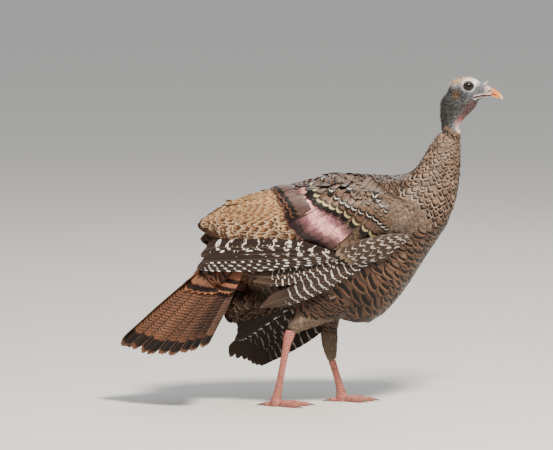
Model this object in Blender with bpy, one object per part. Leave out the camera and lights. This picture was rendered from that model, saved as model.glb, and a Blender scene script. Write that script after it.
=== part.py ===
"""A hen wild turkey, life size, standing in mid stride: the solid body, divided into its parts.

The frame is in metres: +X towards the bill, +Y to the bird's left, +Z up, the floor at Z = 0.
Body, neck, head, legs and toes are lofts through named sections. The wings are lofted plates that are
cut back to lie on the body, and the tail is a fan of thin plates. Neighbours keep a thin gap.
"""

import math

import bmesh
import bpy
from mathutils import Matrix, Vector

GAP = 0.0005  # clearance between two pieces that touch
MERGE_DISTANCE = 1e-5  # points nearer than this become one after a cut
MOST_SHELL = 3.0  # how many times the gap a sharp point of a cutter may move out

# Trunk and feathered neck: back x, z, underside x, z, half width. The last row is the feather collar.
TRUNK_STATIONS = (
    (-0.176, 0.324, -0.166, 0.288, 0.010),
    (-0.168, 0.342, -0.152, 0.266, 0.030),
    (-0.122, 0.380, -0.117, 0.226, 0.055),
    (-0.062, 0.410, -0.064, 0.196, 0.073),
    (0.000, 0.431, -0.006, 0.180, 0.084),
    (0.060, 0.445, 0.056, 0.167, 0.089),
    (0.116, 0.4455, 0.119, 0.157, 0.089),
    (0.160, 0.4460, 0.178, 0.209, 0.084),
    (0.196, 0.4540, 0.230, 0.290, 0.071),
    (0.212, 0.4680, 0.271, 0.350, 0.056),
)
NECK_STATIONS = (
    (0.212, 0.4680, 0.271, 0.350, 0.056),
    (0.226, 0.4905, 0.290, 0.405, 0.044),
    (0.238, 0.5115, 0.2965, 0.456, 0.035),
    (0.2505, 0.5280, 0.2980, 0.495, 0.028),
    (0.2590, 0.5365, 0.2975, 0.517, 0.0235),
)
# Bare neck and throat: nape x, z, throat x, z, half width.
THROAT_STATIONS = (
    (0.2625, 0.5380, 0.2935, 0.5225, 0.0180),
    (0.2620, 0.5450, 0.2915, 0.5380, 0.0165),
    (0.2612, 0.5510, 0.2930, 0.5490, 0.0163),
    (0.2600, 0.5590, 0.3015, 0.5592, 0.0165),
    (0.2588, 0.5690, 0.3115, 0.5680, 0.0170),
    (0.2583, 0.5790, 0.3225, 0.5780, 0.0173),
    (0.2592, 0.5900, 0.3290, 0.5892, 0.0172),
    (0.2625, 0.6000, 0.3325, 0.5975, 0.0160),
    (0.2720, 0.6090, 0.3270, 0.6050, 0.0130),
)
# Head: crown x, z, jaw x, z, half width, from the back of the skull to the edge of the horny bill.
HEAD_STATIONS = (
    (0.2738, 0.6210, 0.2735, 0.6150, 0.0020),
    (0.2775, 0.6270, 0.2770, 0.6050, 0.0090),
    (0.2835, 0.6320, 0.2835, 0.5980, 0.0132),
    (0.2940, 0.6372, 0.2945, 0.5925, 0.0165),
    (0.3086, 0.6397, 0.3090, 0.5902, 0.0176),
    (0.3210, 0.6380, 0.3215, 0.5915, 0.0162),
    (0.3315, 0.6327, 0.3320, 0.5955, 0.0134),
    (0.3400, 0.6279, 0.3400, 0.5992, 0.0110),
    (0.3489, 0.6237, 0.3485, 0.6012, 0.0090),
    (0.3560, 0.6198, 0.3560, 0.6023, 0.0074),
)
BILL_UPPER_STATIONS = (
    (0.3563, 0.6196, 0.3563, 0.6068, 0.0073),
    (0.3620, 0.6166, 0.3615, 0.6052, 0.0062),
    (0.3670, 0.6133, 0.3660, 0.6028, 0.0050),
    (0.3715, 0.6094, 0.3700, 0.6004, 0.0036),
    (0.3757, 0.6042, 0.3742, 0.5978, 0.0020),
    (0.3785, 0.5985, 0.3778, 0.5968, 0.0007),
)
BILL_LOWER_STATIONS = (
    (0.3563, 0.6064, 0.3563, 0.6026, 0.0066),
    (0.3615, 0.6047, 0.3612, 0.6015, 0.0054),
    (0.3658, 0.6023, 0.3655, 0.6002, 0.0036),
    (0.3690, 0.6004, 0.3690, 0.5996, 0.0012),
)
EYE_CENTRE = Vector((0.3105, 0.0105, 0.6235))
EYE_RADIUS = 0.0085
SNOOD_BASE = Vector((0.3410, 0.0, 0.6250))
SNOOD_TIP = Vector((0.3498, 0.0, 0.6325))
SNOOD_SHARES = (0.0, 0.6, 0.9, 1.0)
SNOOD_RADII = (0.0032, 0.0021, 0.0019, 0.0008)

# The wing's shield of coverts and tertials, on the right side: top x, y, z, bottom x, y, z, half thickness.
SHIELD_STATIONS = (
    (0.2125, -0.066, 0.377, 0.2120, -0.068, 0.362, 0.004),
    (0.205, -0.055, 0.395, 0.204, -0.064, 0.349, 0.024),
    (0.188, -0.045, 0.406, 0.188, -0.056, 0.340, 0.041),
    (0.158, -0.040, 0.417, 0.158, -0.050, 0.331, 0.052),
    (0.115, -0.038, 0.424, 0.115, -0.048, 0.322, 0.057),
    (0.065, -0.038, 0.425, 0.065, -0.047, 0.311, 0.059),
    (0.015, -0.038, 0.421, 0.015, -0.047, 0.303, 0.057),
    (-0.040, -0.036, 0.424, -0.040, -0.048, 0.303, 0.050),
    (-0.095, -0.034, 0.414, -0.095, -0.047, 0.305, 0.042),
    (-0.145, -0.029, 0.401, -0.145, -0.042, 0.313, 0.031),
    (-0.185, -0.024, 0.385, -0.185, -0.035, 0.325, 0.022),
    (-0.212, -0.021, 0.368, -0.210, -0.027, 0.338, 0.013),
    (-0.2215, -0.020, 0.357, -0.2205, -0.022, 0.346, 0.005),
)
# The coverts end and the tertials begin along this line of the side view, upper then lower point.
COVERT_EDGE = (Vector((-0.057, 0.0, 0.399)), Vector((0.017, 0.0, 0.303)))
SHOULDER = Vector((0.160, 0.0, 0.400))
LEFT_DROOP = math.radians(5)  # how far the left wing's shield is turned down about the shoulder

RIGHT_SECONDARY_STATIONS = (
    (0.201, -0.076, 0.356, 0.202, -0.077, 0.338, 0.008),
    (0.150, -0.086, 0.350, 0.152, -0.087, 0.308, 0.012),
    (0.100, -0.089, 0.343, 0.100, -0.090, 0.288, 0.013),
    (0.045, -0.089, 0.333, 0.045, -0.091, 0.273, 0.012),
    (-0.040, -0.083, 0.326, -0.040, -0.088, 0.266, 0.010),
    (-0.120, -0.068, 0.322, -0.120, -0.076, 0.263, 0.009),
    (-0.180, -0.054, 0.312, -0.180, -0.062, 0.263, 0.0075),
    (-0.214, -0.046, 0.296, -0.214, -0.050, 0.268, 0.004),
    (-0.224, -0.044, 0.285, -0.224, -0.046, 0.276, 0.0015),
)
RIGHT_PRIMARY_STATIONS = (
    (0.208, -0.073, 0.350, 0.209, -0.073, 0.342, 0.005),
    (0.174, -0.083, 0.336, 0.177, -0.082, 0.308, 0.009),
    (0.108, -0.090, 0.314, 0.112, -0.086, 0.270, 0.010),
    (0.062, -0.092, 0.302, 0.068, -0.084, 0.242, 0.010),
    (0.006, -0.091, 0.288, 0.013, -0.080, 0.209, 0.009),
    (-0.052, -0.086, 0.275, -0.042, -0.076, 0.197, 0.007),
    (-0.098, -0.081, 0.258, -0.085, -0.073, 0.192, 0.0045),
    (-0.1185, -0.079, 0.248, -0.102, -0.072, 0.1915, 0.0015),
)
LEFT_PRIMARY_STATIONS = (
    (0.178, 0.090, 0.338, 0.186, 0.088, 0.318, 0.006),
    (0.120, 0.103, 0.300, 0.145, 0.099, 0.255, 0.009),
    (0.050, 0.110, 0.240, 0.088, 0.104, 0.185, 0.008),
    (-0.015, 0.112, 0.188, 0.022, 0.105, 0.122, 0.006),
    (-0.080, 0.110, 0.140, -0.035, 0.103, 0.086, 0.0045),
    (-0.135, 0.107, 0.102, -0.079, 0.100, 0.064, 0.003),
    (-0.164, 0.105, 0.078, -0.096, 0.099, 0.0555, 0.0012),
)
LEFT_SECONDARY_STATIONS = (
    (0.162, 0.084, 0.350, 0.166, 0.087, 0.334, 0.006),
    (0.100, 0.091, 0.345, 0.112, 0.096, 0.298, 0.009),
    (0.038, 0.093, 0.332, 0.046, 0.101, 0.238, 0.008),
    (-0.032, 0.088, 0.304, -0.020, 0.101, 0.188, 0.007),
    (-0.088, 0.080, 0.270, -0.082, 0.099, 0.142, 0.005),
    (-0.126, 0.075, 0.236, -0.122, 0.096, 0.116, 0.0035),
    (-0.136, 0.075, 0.205, -0.147, 0.095, 0.110, 0.0012),
)

# Tail: a tented fan. The middle quill runs straight back, the outer ones down and out to each side.
FEATHERS_A_SIDE = 9
TAIL_MIDDLE_BASE = Vector((-0.135, 0.0, 0.325))
TAIL_OUTER_BASE = Vector((-0.114, 0.030, 0.300))
TAIL_MIDDLE_REACH = Vector((-0.247, 0.0, -0.207))
TAIL_OUTER_REACH = Vector((-0.090, 0.088, -0.172))
TAIL_MIDDLE_SHARE = 3  # feathers on each side that belong to the middle piece
TAIL_THICKNESS = 0.004
TAIL_GAP = 0.0007  # the fan's sharp roots need a little more clearance
TAIL_TIP_ROUND = 0.014  # how far a feather's corners stand back from its tip

# Coverts over the tail's root and the loose feathers of the vent: centre x, z, half height, half width.
TAIL_COVERT_STATIONS = (
    (-0.120, 0.300, 0.050, 0.040),
    (-0.142, 0.285, 0.052, 0.048),
    (-0.162, 0.268, 0.048, 0.056),
    (-0.180, 0.252, 0.040, 0.060),
    (-0.192, 0.241, 0.026, 0.058),
)
TAIL_COVERT_LEAN = math.radians(40)  # how far those sections lean back from upright
VENT_STATIONS = (
    (-0.060, 0.212, 0.030, 0.040),
    (-0.095, 0.205, 0.034, 0.046),
    (-0.128, 0.197, 0.034, 0.044),
    (-0.150, 0.184, 0.027, 0.034),
    (-0.162, 0.172, 0.013, 0.020),
)
VENT_LEAN = math.radians(20)

# Feathered shanks: centre x, y, z, half length fore and aft, half width.
RIGHT_SHANK_STATIONS = (
    (0.060, -0.046, 0.232, 0.050, 0.030),
    (0.036, -0.046, 0.208, 0.044, 0.028),
    (0.008, -0.044, 0.186, 0.033, 0.023),
    (-0.017, -0.042, 0.166, 0.021, 0.0165),
    (-0.0335, -0.041, 0.1480, 0.0122, 0.0108),
)
LEFT_SHANK_STATIONS = (
    (0.066, 0.044, 0.232, 0.046, 0.030),
    (0.048, 0.042, 0.188, 0.027, 0.024),
    (0.0415, 0.040, 0.152, 0.0185, 0.0175),
    (0.0415, 0.039, 0.121, 0.0170, 0.0155),
    (0.0435, 0.0385, 0.098, 0.0135, 0.0122),
    (0.0462, 0.038, 0.080, 0.0096, 0.0090),
)
# Bare legs from the hock to the ball of the foot: centre x, y, z, half length, half width.
RIGHT_TARSUS_STATIONS = (
    (-0.0345, -0.0409, 0.1470, 0.0098, 0.0084),
    (-0.0390, -0.0405, 0.1360, 0.0100, 0.0086),
    (-0.0425, -0.0403, 0.1210, 0.0076, 0.0066),
    (-0.0495, -0.0400, 0.0850, 0.0064, 0.0055),
    (-0.0565, -0.0400, 0.0460, 0.0066, 0.0057),
    (-0.0615, -0.0400, 0.0200, 0.0085, 0.0075),
    (-0.0635, -0.0400, 0.0080, 0.0115, 0.0110),
    (-0.0638, -0.0400, -0.0010, 0.0100, 0.0100),
)
LEFT_TARSUS_STATIONS = (
    (0.0466, 0.0379, 0.0785, 0.0072, 0.0062),
    (0.0530, 0.0370, 0.0580, 0.0065, 0.0056),
    (0.0590, 0.0360, 0.0380, 0.0068, 0.0058),
    (0.0635, 0.0352, 0.0200, 0.0085, 0.0075),
    (0.0655, 0.0350, 0.0080, 0.0115, 0.0110),
    (0.0658, 0.0350, -0.0010, 0.0100, 0.0100),
)
# Toes: turn from straight ahead (positive is inwards), length, root radius, tip radius.
TOES = {
    "inner": (math.radians(34), 0.048, 0.0064, 0.0044),
    "middle": (math.radians(2), 0.064, 0.0068, 0.0044),
    "outer": (math.radians(-36), 0.051, 0.0062, 0.0042),
    "hind": (math.radians(168), 0.024, 0.0048, 0.0038),
}
FOOT_CENTRES = {"right": Vector((-0.0635, -0.0400, 0.0)), "left": Vector((0.0655, 0.0350, 0.0))}
TOE_SINK = 0.16  # share of a toe's radius that is pressed flat against the floor
TOE_SHARES = (0.06, 0.22, 0.34, 0.48, 0.62, 0.76, 0.90, 1.0)  # places of a toe's rings along it
TOE_PADS = (1.0, 0.92, 1.06, 0.90, 1.04, 0.90, 1.02, 0.72)  # how the pads swell and narrow there
CLAW_ROOT_SHARE = 0.94  # where on its toe a claw begins
CLAW_LENGTH = 0.0170
CLAW_DROP = 0.0030  # how far a claw's point hangs below its root
CLAW_SHARES = (0.0, 0.3, 0.6, 0.85, 1.0)
CLAW_ROOT_RADIUS = 0.0029
CLAW_TAPER = 0.86  # share of the root radius lost by the point

MATERIALS = {  # colour, roughness, metallic
    "mantle_feather": ((0.16, 0.10, 0.07), 0.65, 0.0),
    "neck_feather": ((0.20, 0.13, 0.10), 0.70, 0.0),
    "bare_skin": ((0.45, 0.44, 0.46), 0.55, 0.0),
    "horn_bill": ((0.60, 0.38, 0.18), 0.35, 0.0),
    "eye_gloss": ((0.03, 0.012, 0.01), 0.05, 0.0),
    "covert_bronze": ((0.20, 0.11, 0.10), 0.40, 0.1),
    "tertial_buff": ((0.42, 0.26, 0.15), 0.60, 0.0),
    "barred_quill": ((0.10, 0.08, 0.07), 0.55, 0.0),
    "tail_rufous": ((0.25, 0.10, 0.05), 0.55, 0.0),
    "belly_down": ((0.14, 0.08, 0.05), 0.80, 0.0),
    "leg_scale": ((0.62, 0.30, 0.25), 0.50, 0.0),
    "claw_horn": ((0.22, 0.16, 0.12), 0.40, 0.0),
}


def clear_scene():
    for obj in list(bpy.data.objects):
        bpy.data.objects.remove(obj, do_unlink=True)


def material(name):
    found = bpy.data.materials.get(name)
    if found:
        return found
    colour, roughness, metallic = MATERIALS[name]
    made = bpy.data.materials.new(name)
    made.use_nodes = True
    shader = made.node_tree.nodes["Principled BSDF"]
    shader.inputs["Base Color"].default_value = (*colour, 1.0)
    shader.inputs["Roughness"].default_value = roughness
    shader.inputs["Metallic"].default_value = metallic
    return made


def add_object(name, bm, finish):
    """A new object of this bmesh, faces out, shaded smooth, in the bird's collection."""
    bmesh.ops.recalc_face_normals(bm, faces=bm.faces)
    if bm.calc_volume(signed=True) < 0:
        bmesh.ops.reverse_faces(bm, faces=bm.faces)
    mesh = bpy.data.meshes.new(name)
    bm.to_mesh(mesh)
    bm.free()
    mesh.shade_smooth()
    mesh.materials.append(material(finish))
    obj = bpy.data.objects.new(name, mesh)
    bird.objects.link(obj)
    return obj


def smooth_rows(rows, steps):
    """Rows of numbers between the given ones, on a cubic curve that passes through each of them."""
    slopes = []
    for i in range(len(rows)):
        before, after = rows[max(i - 1, 0)], rows[min(i + 1, len(rows) - 1)]
        span = min(i + 1, len(rows) - 1) - max(i - 1, 0)
        slopes.append([(b - a) / span for a, b in zip(before, after)])
    made = []
    for i in range(len(rows) - 1):
        for k in range(steps):
            t = k / steps
            near, far = 2 * t**3 - 3 * t**2 + 1, 3 * t**2 - 2 * t**3
            leave, arrive = t**3 - 2 * t**2 + t, t**3 - t**2
            made.append(
                [
                    near * a + far * b + leave * da + arrive * db
                    for a, b, da, db in zip(rows[i], rows[i + 1], slopes[i], slopes[i + 1])
                ]
            )
    made.append(list(rows[-1]))
    return made


def signed_power(value, power):
    return math.copysign(abs(value) ** power, value)


def ring_points(centre, long_half, wide_half, sides, boxiness=2.0):
    """A closed ring: an ellipse at boxiness 2, fuller in its corners above that."""
    power = 2.0 / boxiness
    points = []
    for k in range(sides):
        angle = 2 * math.pi * (k + 0.5) / sides
        along = signed_power(math.cos(angle), power)
        across = signed_power(math.sin(angle), power)
        points.append(centre + long_half * along + wide_half * across)
    return points


def loft(name, rings, finish):
    """A closed skin through rings of equal length, with a face over each end."""
    bm = bmesh.new()
    loops = [[bm.verts.new(point) for point in ring] for ring in rings]
    for near, far in zip(loops, loops[1:]):
        for k in range(len(near)):
            bm.faces.new((near[k - 1], near[k], far[k], far[k - 1]))
    bm.faces.new(loops[0])
    bm.faces.new(loops[-1])
    return add_object(name, bm, finish)


def body_loft(name, stations, finish, sides, steps, boxiness=2.1):
    """Sections in the plane of symmetry, each between a back and an underside point."""
    rings = []
    for back_x, back_z, under_x, under_z, half_width in smooth_rows(stations, steps):
        back, under = Vector((back_x, 0, back_z)), Vector((under_x, 0, under_z))
        wide = Vector((0, half_width, 0))
        rings.append(ring_points((back + under) / 2, (back - under) / 2, wide, sides, boxiness))
    return loft(name, rings, finish)


def plate_loft(name, stations, finish, sides=8, steps=2, boxiness=2.6):
    """A flattened shape: each section runs from a top to a bottom point with a half thickness."""
    rings = []
    for row in smooth_rows(stations, steps):
        top, bottom, half_thickness = Vector(row[:3]), Vector(row[3:6]), row[6]
        tall = (top - bottom) / 2
        thick = tall.cross(Vector((1, 0, 0))).normalized() * half_thickness
        rings.append(ring_points((top + bottom) / 2, tall, thick, sides, boxiness))
    return loft(name, rings, finish)


def leaning_loft(name, stations, lean, finish, sides=12, steps=2):
    """Sections on the plane of symmetry that all lean back by one angle."""
    up = Vector((-math.sin(lean), 0, math.cos(lean)))
    rings = []
    for x, z, half_height, half_width in smooth_rows(stations, steps):
        wide = Vector((0, half_width, 0))
        rings.append(ring_points(Vector((x, 0, z)), up * half_height, wide, sides))
    return loft(name, rings, finish)


def limb_loft(name, stations, finish, sides, steps):
    """A leg: each section lies square to the line through its neighbours."""
    rows = smooth_rows(stations, steps)
    centres = [Vector(row[:3]) for row in rows]
    rings = []
    for i, row in enumerate(rows):
        run = centres[min(i + 1, len(rows) - 1)] - centres[max(i - 1, 0)]
        side = Vector((0, 1, 0))
        ahead = side.cross(run).normalized()
        rings.append(ring_points(centres[i], ahead * row[3], side * row[4], sides))
    return loft(name, rings, finish)


def evaluated_copy(obj):
    graph = bpy.context.evaluated_depsgraph_get()
    bm = bmesh.new()
    bm.from_mesh(obj.evaluated_get(graph).to_mesh())
    return bm


def keep_largest(bm):
    """Drops the crumbs that a cut leaves, so that one body stays."""
    islands, seen = [], set()
    for face in bm.faces:
        if face in seen:
            continue
        island, waiting = [], [face]
        seen.add(face)
        while waiting:
            current = waiting.pop()
            island.append(current)
            for edge in current.edges:
                for other in edge.link_faces:
                    if other not in seen:
                        seen.add(other)
                        waiting.append(other)
        islands.append(island)
    islands.sort(key=lambda island: sum(face.calc_area() for face in island))
    for island in islands[:-1]:
        bmesh.ops.delete(bm, geom=island, context="FACES")
    loose = [vert for vert in bm.verts if not vert.link_faces]
    bmesh.ops.delete(bm, geom=loose, context="VERTS")


def replace_mesh(obj, bm):
    finish = obj.data.materials[0]
    mesh = bpy.data.meshes.new(obj.name)
    bm.to_mesh(mesh)
    bm.free()
    mesh.shade_smooth()
    mesh.materials.clear()
    mesh.materials.append(finish)
    old, obj.data = obj.data, mesh
    bpy.data.meshes.remove(old)


def reach(obj):
    corners = [vert.co for vert in obj.data.vertices]
    low = [min(c[i] for c in corners) - GAP for i in range(3)]
    high = [max(c[i] for c in corners) + GAP for i in range(3)]
    return low, high


def near_each_other(one, other):
    (low_a, high_a), (low_b, high_b) = reach(one), reach(other)
    return all(low_a[i] < high_b[i] and low_b[i] < high_a[i] for i in range(3))


def swollen(obj, amount):
    """A cutter of the same shape, larger by this amount all round."""
    bm = evaluated_copy(obj)
    bm.normal_update()
    # The shell factor keeps each face the full amount away where the surface turns sharply.
    moves = [(vert, vert.normal * min(vert.calc_shell_factor(), MOST_SHELL)) for vert in bm.verts]
    for vert, move in moves:
        vert.co += move * amount
    mesh = bpy.data.meshes.new(obj.name + "_cutter")
    bm.to_mesh(mesh)
    bm.free()
    cutter = bpy.data.objects.new(obj.name + "_cutter", mesh)
    cutter.hide_render = True
    cutter.display_type = "WIRE"
    cutters.objects.link(cutter)
    return cutter


def cut_back(obj, neighbours, gap=GAP):
    """Takes the neighbours, and the gap round them, out of the object."""
    made = [swollen(other, gap) for other in neighbours if near_each_other(obj, other)]
    for cutter in made:
        modifier = obj.modifiers.new(cutter.name, "BOOLEAN")
        modifier.operation = "DIFFERENCE"
        modifier.solver = "MANIFOLD"  # the exact solver leaves open edges on plates this thin
        modifier.object = cutter
    bpy.context.view_layer.update()
    bm = evaluated_copy(obj)
    obj.modifiers.clear()
    bmesh.ops.remove_doubles(bm, verts=bm.verts, dist=MERGE_DISTANCE)
    bmesh.ops.dissolve_degenerate(bm, dist=MERGE_DISTANCE, edges=bm.edges)
    keep_largest(bm)
    replace_mesh(obj, bm)
    for cutter in made:
        bpy.data.objects.remove(cutter, do_unlink=True)


def keep_side(source, name, point, normal, finish):
    """A copy of the source that keeps what lies behind the plane, closed over the cut."""
    bm = bmesh.new()
    bm.from_mesh(source.data)
    cut = bmesh.ops.bisect_plane(
        bm,
        geom=bm.verts[:] + bm.edges[:] + bm.faces[:],
        plane_co=point,
        plane_no=normal,
        clear_outer=True,
    )
    rim = [item for item in cut["geom_cut"] if isinstance(item, bmesh.types.BMEdge)]
    bmesh.ops.edgeloop_fill(bm, edges=rim)
    return add_object(name, bm, finish)


def make_body():
    body_loft("trunk", TRUNK_STATIONS, "mantle_feather", sides=20, steps=2)
    neck = body_loft("neck_feathered", NECK_STATIONS, "neck_feather", sides=18, steps=2)
    cut_back(neck, [bpy.data.objects["trunk"]])
    throat = body_loft("neck_bare", THROAT_STATIONS, "bare_skin", sides=12, steps=2)
    head = body_loft("head", HEAD_STATIONS, "bare_skin", sides=14, steps=2)
    cut_back(throat, [neck, head])


def make_bill_and_snood():
    body_loft("bill_upper", BILL_UPPER_STATIONS, "horn_bill", sides=14, steps=2)
    body_loft("bill_lower", BILL_LOWER_STATIONS, "horn_bill", sides=12, steps=2)
    run = SNOOD_TIP - SNOOD_BASE
    across = Vector((0, 1, 0))
    ahead = across.cross(run).normalized()
    rings = []
    for share, radius in zip(SNOOD_SHARES, SNOOD_RADII):
        rings.append(ring_points(SNOOD_BASE + run * share, ahead * radius, across * radius, 10))
    snood = loft("snood", rings, "bare_skin")
    cut_back(snood, [bpy.data.objects["head"]])


def make_eyes():
    head = bpy.data.objects["head"]
    eyes = []
    for side, sign in (("right", -1), ("left", 1)):
        bm = bmesh.new()
        bmesh.ops.create_uvsphere(bm, u_segments=12, v_segments=8, radius=EYE_RADIUS)
        turn = Matrix.Rotation(math.radians(90), 4, "X")
        place = Matrix.Translation(Vector((EYE_CENTRE.x, sign * EYE_CENTRE.y, EYE_CENTRE.z)))
        bmesh.ops.transform(bm, matrix=place @ turn, verts=bm.verts)
        eyes.append(add_object("eye_" + side, bm, "eye_gloss"))
    cut_back(head, eyes)


def shield(name, sign, droop):
    """The rounded shield of coverts and tertials over one side of the body."""
    whole = plate_loft(name, SHIELD_STATIONS, "covert_bronze", sides=12, boxiness=2.3)
    bm = bmesh.new()
    bm.from_mesh(whole.data)
    turn = Matrix.Rotation(-droop, 4, "Y")
    pivot = Matrix.Translation(SHOULDER)
    mirror = Matrix.Diagonal((1, sign, 1, 1))
    bmesh.ops.transform(bm, matrix=mirror @ pivot @ turn @ pivot.inverted(), verts=bm.verts)
    bmesh.ops.recalc_face_normals(bm, faces=bm.faces)
    replace_mesh(whole, bm)
    return whole


def make_wing(side, sign, droop, secondary_stations, primary_stations):
    trunk = bpy.data.objects["trunk"]
    others = [bpy.data.objects[name] for name in ("neck_feathered", "trunk")]
    whole = shield("shield_" + side, sign, droop)
    cut_back(whole, others)
    upper, lower = COVERT_EDGE
    run = lower - upper
    rearward = Vector((run.z, 0, -run.x)).normalized()
    turn = Matrix.Rotation(-droop, 3, "Y")
    point = SHOULDER + turn @ (upper - SHOULDER)
    rearward = turn @ rearward
    if rearward.x > 0:
        rearward = -rearward
    gap = rearward * GAP / 2
    coverts = keep_side(whole, f"wing_{side}_coverts", point - gap, rearward, "covert_bronze")
    tertials = keep_side(whole, f"wing_{side}_tertials", point + gap, -rearward, "tertial_buff")
    bpy.data.objects.remove(whole, do_unlink=True)
    secondaries = plate_loft(f"wing_{side}_secondaries", secondary_stations, "barred_quill")
    cut_back(secondaries, [trunk, coverts, tertials])
    primaries = plate_loft(f"wing_{side}_primaries", primary_stations, "barred_quill")
    cut_back(primaries, [trunk, coverts, tertials, secondaries])


def tail_point(spread, reach_share):
    """A point of the fan: spread runs from -1 at the right edge to 1 at the left, reach from root to tip."""
    share = abs(spread)
    side = 1 if spread > 0 else -1
    base = TAIL_MIDDLE_BASE.lerp(TAIL_OUTER_BASE, share)
    middle = TAIL_MIDDLE_REACH.normalized()
    outer = TAIL_OUTER_REACH.normalized()
    direction = middle.slerp(outer, share)
    # The feathers keep most of their length to near the edge of the fan.
    full, least = TAIL_MIDDLE_REACH.length, TAIL_OUTER_REACH.length
    length = full + (least - full) * share**1.2
    point = base + direction * length * reach_share
    return Vector((point.x, point.y * side, point.z))


def make_tail_piece(name, first, last):
    """Feathers from first to last, counted from the middle, as one thin scalloped plate."""
    columns_a_feather, rows = 2, 3
    count = (last - first) * columns_a_feather
    bm = bmesh.new()
    grid = []
    for i in range(count + 1):
        place = first + i / columns_a_feather
        across = place - math.floor(place + 1e-9)
        set_back = TAIL_TIP_ROUND * (2 * across - 1) ** 2
        spread = place / FEATHERS_A_SIDE
        length = (tail_point(spread, 1) - tail_point(spread, 0)).length
        tip = 1 - set_back / length
        grid.append([bm.verts.new(tail_point(spread, tip * j / (rows - 1))) for j in range(rows)])
    for left, right in zip(grid, grid[1:]):
        for j in range(rows - 1):
            bm.faces.new((left[j], left[j + 1], right[j + 1], right[j]))
    bmesh.ops.recalc_face_normals(bm, faces=bm.faces)
    sheet = bm.faces[:]
    bmesh.ops.solidify(bm, geom=sheet, thickness=TAIL_THICKNESS)
    return add_object(name, bm, "tail_rufous")


def make_tail():
    body = [bpy.data.objects["trunk"]]
    for side in ("right", "left"):
        for group in ("coverts", "tertials", "secondaries", "primaries"):
            body.append(bpy.data.objects[f"wing_{side}_{group}"])
    coverts = leaning_loft("tail_coverts", TAIL_COVERT_STATIONS, TAIL_COVERT_LEAN, "tail_rufous")
    cut_back(coverts, body)
    share = TAIL_MIDDLE_SHARE
    middle = make_tail_piece("tail_middle", -share, share)
    cut_back(middle, body + [coverts], gap=TAIL_GAP)
    right = make_tail_piece("tail_right", -FEATHERS_A_SIDE, -share)
    cut_back(right, body + [coverts, middle], gap=TAIL_GAP)
    left = make_tail_piece("tail_left", share, FEATHERS_A_SIDE)
    cut_back(left, body + [coverts, middle], gap=TAIL_GAP)
    vent = leaning_loft("vent_feathers", VENT_STATIONS, VENT_LEAN, "belly_down")
    cut_back(vent, body + [coverts, middle, right, left])


def rounded_tube(name, points, radii, finish, sides=8):
    """A tapering tube through these points with rings square to it, and a small cap at its tip."""
    rings = []
    for i, (point, radius) in enumerate(zip(points, radii)):
        run = points[min(i + 1, len(points) - 1)] - points[max(i - 1, 0)]
        across = Vector((0, 0, 1)).cross(run).normalized()
        upward = run.cross(across).normalized()
        rings.append(ring_points(point, upward * radius, across * radius, sides))
    return loft(name, rings, finish)


def flatten_under(obj):
    """Cuts off what is below the floor, which leaves a small flat to stand on."""
    bm = bmesh.new()
    bm.from_mesh(obj.data)
    geometry = bm.verts[:] + bm.edges[:] + bm.faces[:]
    floor = bmesh.ops.bisect_plane(
        bm, geom=geometry, plane_co=(0, 0, 0), plane_no=(0, 0, -1), clear_outer=True
    )
    rim = [item for item in floor["geom_cut"] if isinstance(item, bmesh.types.BMEdge)]
    bmesh.ops.edgeloop_fill(bm, edges=rim)
    bmesh.ops.recalc_face_normals(bm, faces=bm.faces)
    replace_mesh(obj, bm)


def make_toe(side, toe, inward):
    turn, length, root_radius, tip_radius = TOES[toe]
    heading = Vector((math.cos(turn), inward * math.sin(turn), 0))
    centre = FOOT_CENTRES[side]
    points, radii = [], []
    for share, pad in zip(TOE_SHARES, TOE_PADS):
        radius = (root_radius + (tip_radius - root_radius) * share) * pad
        points.append(centre + heading * length * share + Vector((0, 0, radius * (1 - TOE_SINK))))
        radii.append(radius)
    body = rounded_tube(f"toe_{side}_{toe}", points, radii, "leg_scale")
    flatten_under(body)
    root = centre + heading * length * CLAW_ROOT_SHARE + Vector((0, 0, tip_radius))
    claw_points, claw_radii = [], []
    for share in CLAW_SHARES:
        drop = Vector((0, 0, CLAW_DROP * share**2))
        claw_points.append(root + heading * CLAW_LENGTH * share - drop)
        claw_radii.append(CLAW_ROOT_RADIUS * (1 - CLAW_TAPER * share))
    claw = rounded_tube(f"claw_{side}_{toe}", claw_points, claw_radii, "claw_horn", sides=7)
    flatten_under(claw)
    return body, claw


def make_leg(side, inward, shank_stations, tarsus_stations):
    body = [bpy.data.objects[name] for name in ("trunk", "vent_feathers")]
    body += [bpy.data.objects[f"wing_{side}_{group}"] for group in ("secondaries", "primaries")]
    shank = limb_loft(f"shank_{side}", shank_stations, "belly_down", sides=14, steps=2)
    cut_back(shank, body)
    tarsus = limb_loft(f"tarsus_{side}", tarsus_stations, "leg_scale", sides=12, steps=2)
    flatten_under(tarsus)
    cut_back(tarsus, [shank])
    placed = [tarsus]
    for toe in TOES:
        toe_body, claw = make_toe(side, toe, inward)
        cut_back(toe_body, placed)
        cut_back(claw, [toe_body])
        placed.append(toe_body)


def collection(name):
    made = bpy.data.collections.new(name)
    bpy.context.scene.collection.children.link(made)
    return made


clear_scene()
bird = collection("wild_turkey_hen")
cutters = collection("cutters")
make_body()
make_bill_and_snood()
make_eyes()
make_wing("right", 1, 0.0, RIGHT_SECONDARY_STATIONS, RIGHT_PRIMARY_STATIONS)
make_wing("left", -1, LEFT_DROOP, LEFT_SECONDARY_STATIONS, LEFT_PRIMARY_STATIONS)
make_tail()
make_leg("right", 1, RIGHT_SHANK_STATIONS, RIGHT_TARSUS_STATIONS)
make_leg("left", -1, LEFT_SHANK_STATIONS, LEFT_TARSUS_STATIONS)
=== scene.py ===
import math

import bmesh
import bpy
import numpy as np
from mathutils import Matrix, Vector, noise
from mathutils.bvhtree import BVHTree


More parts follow.
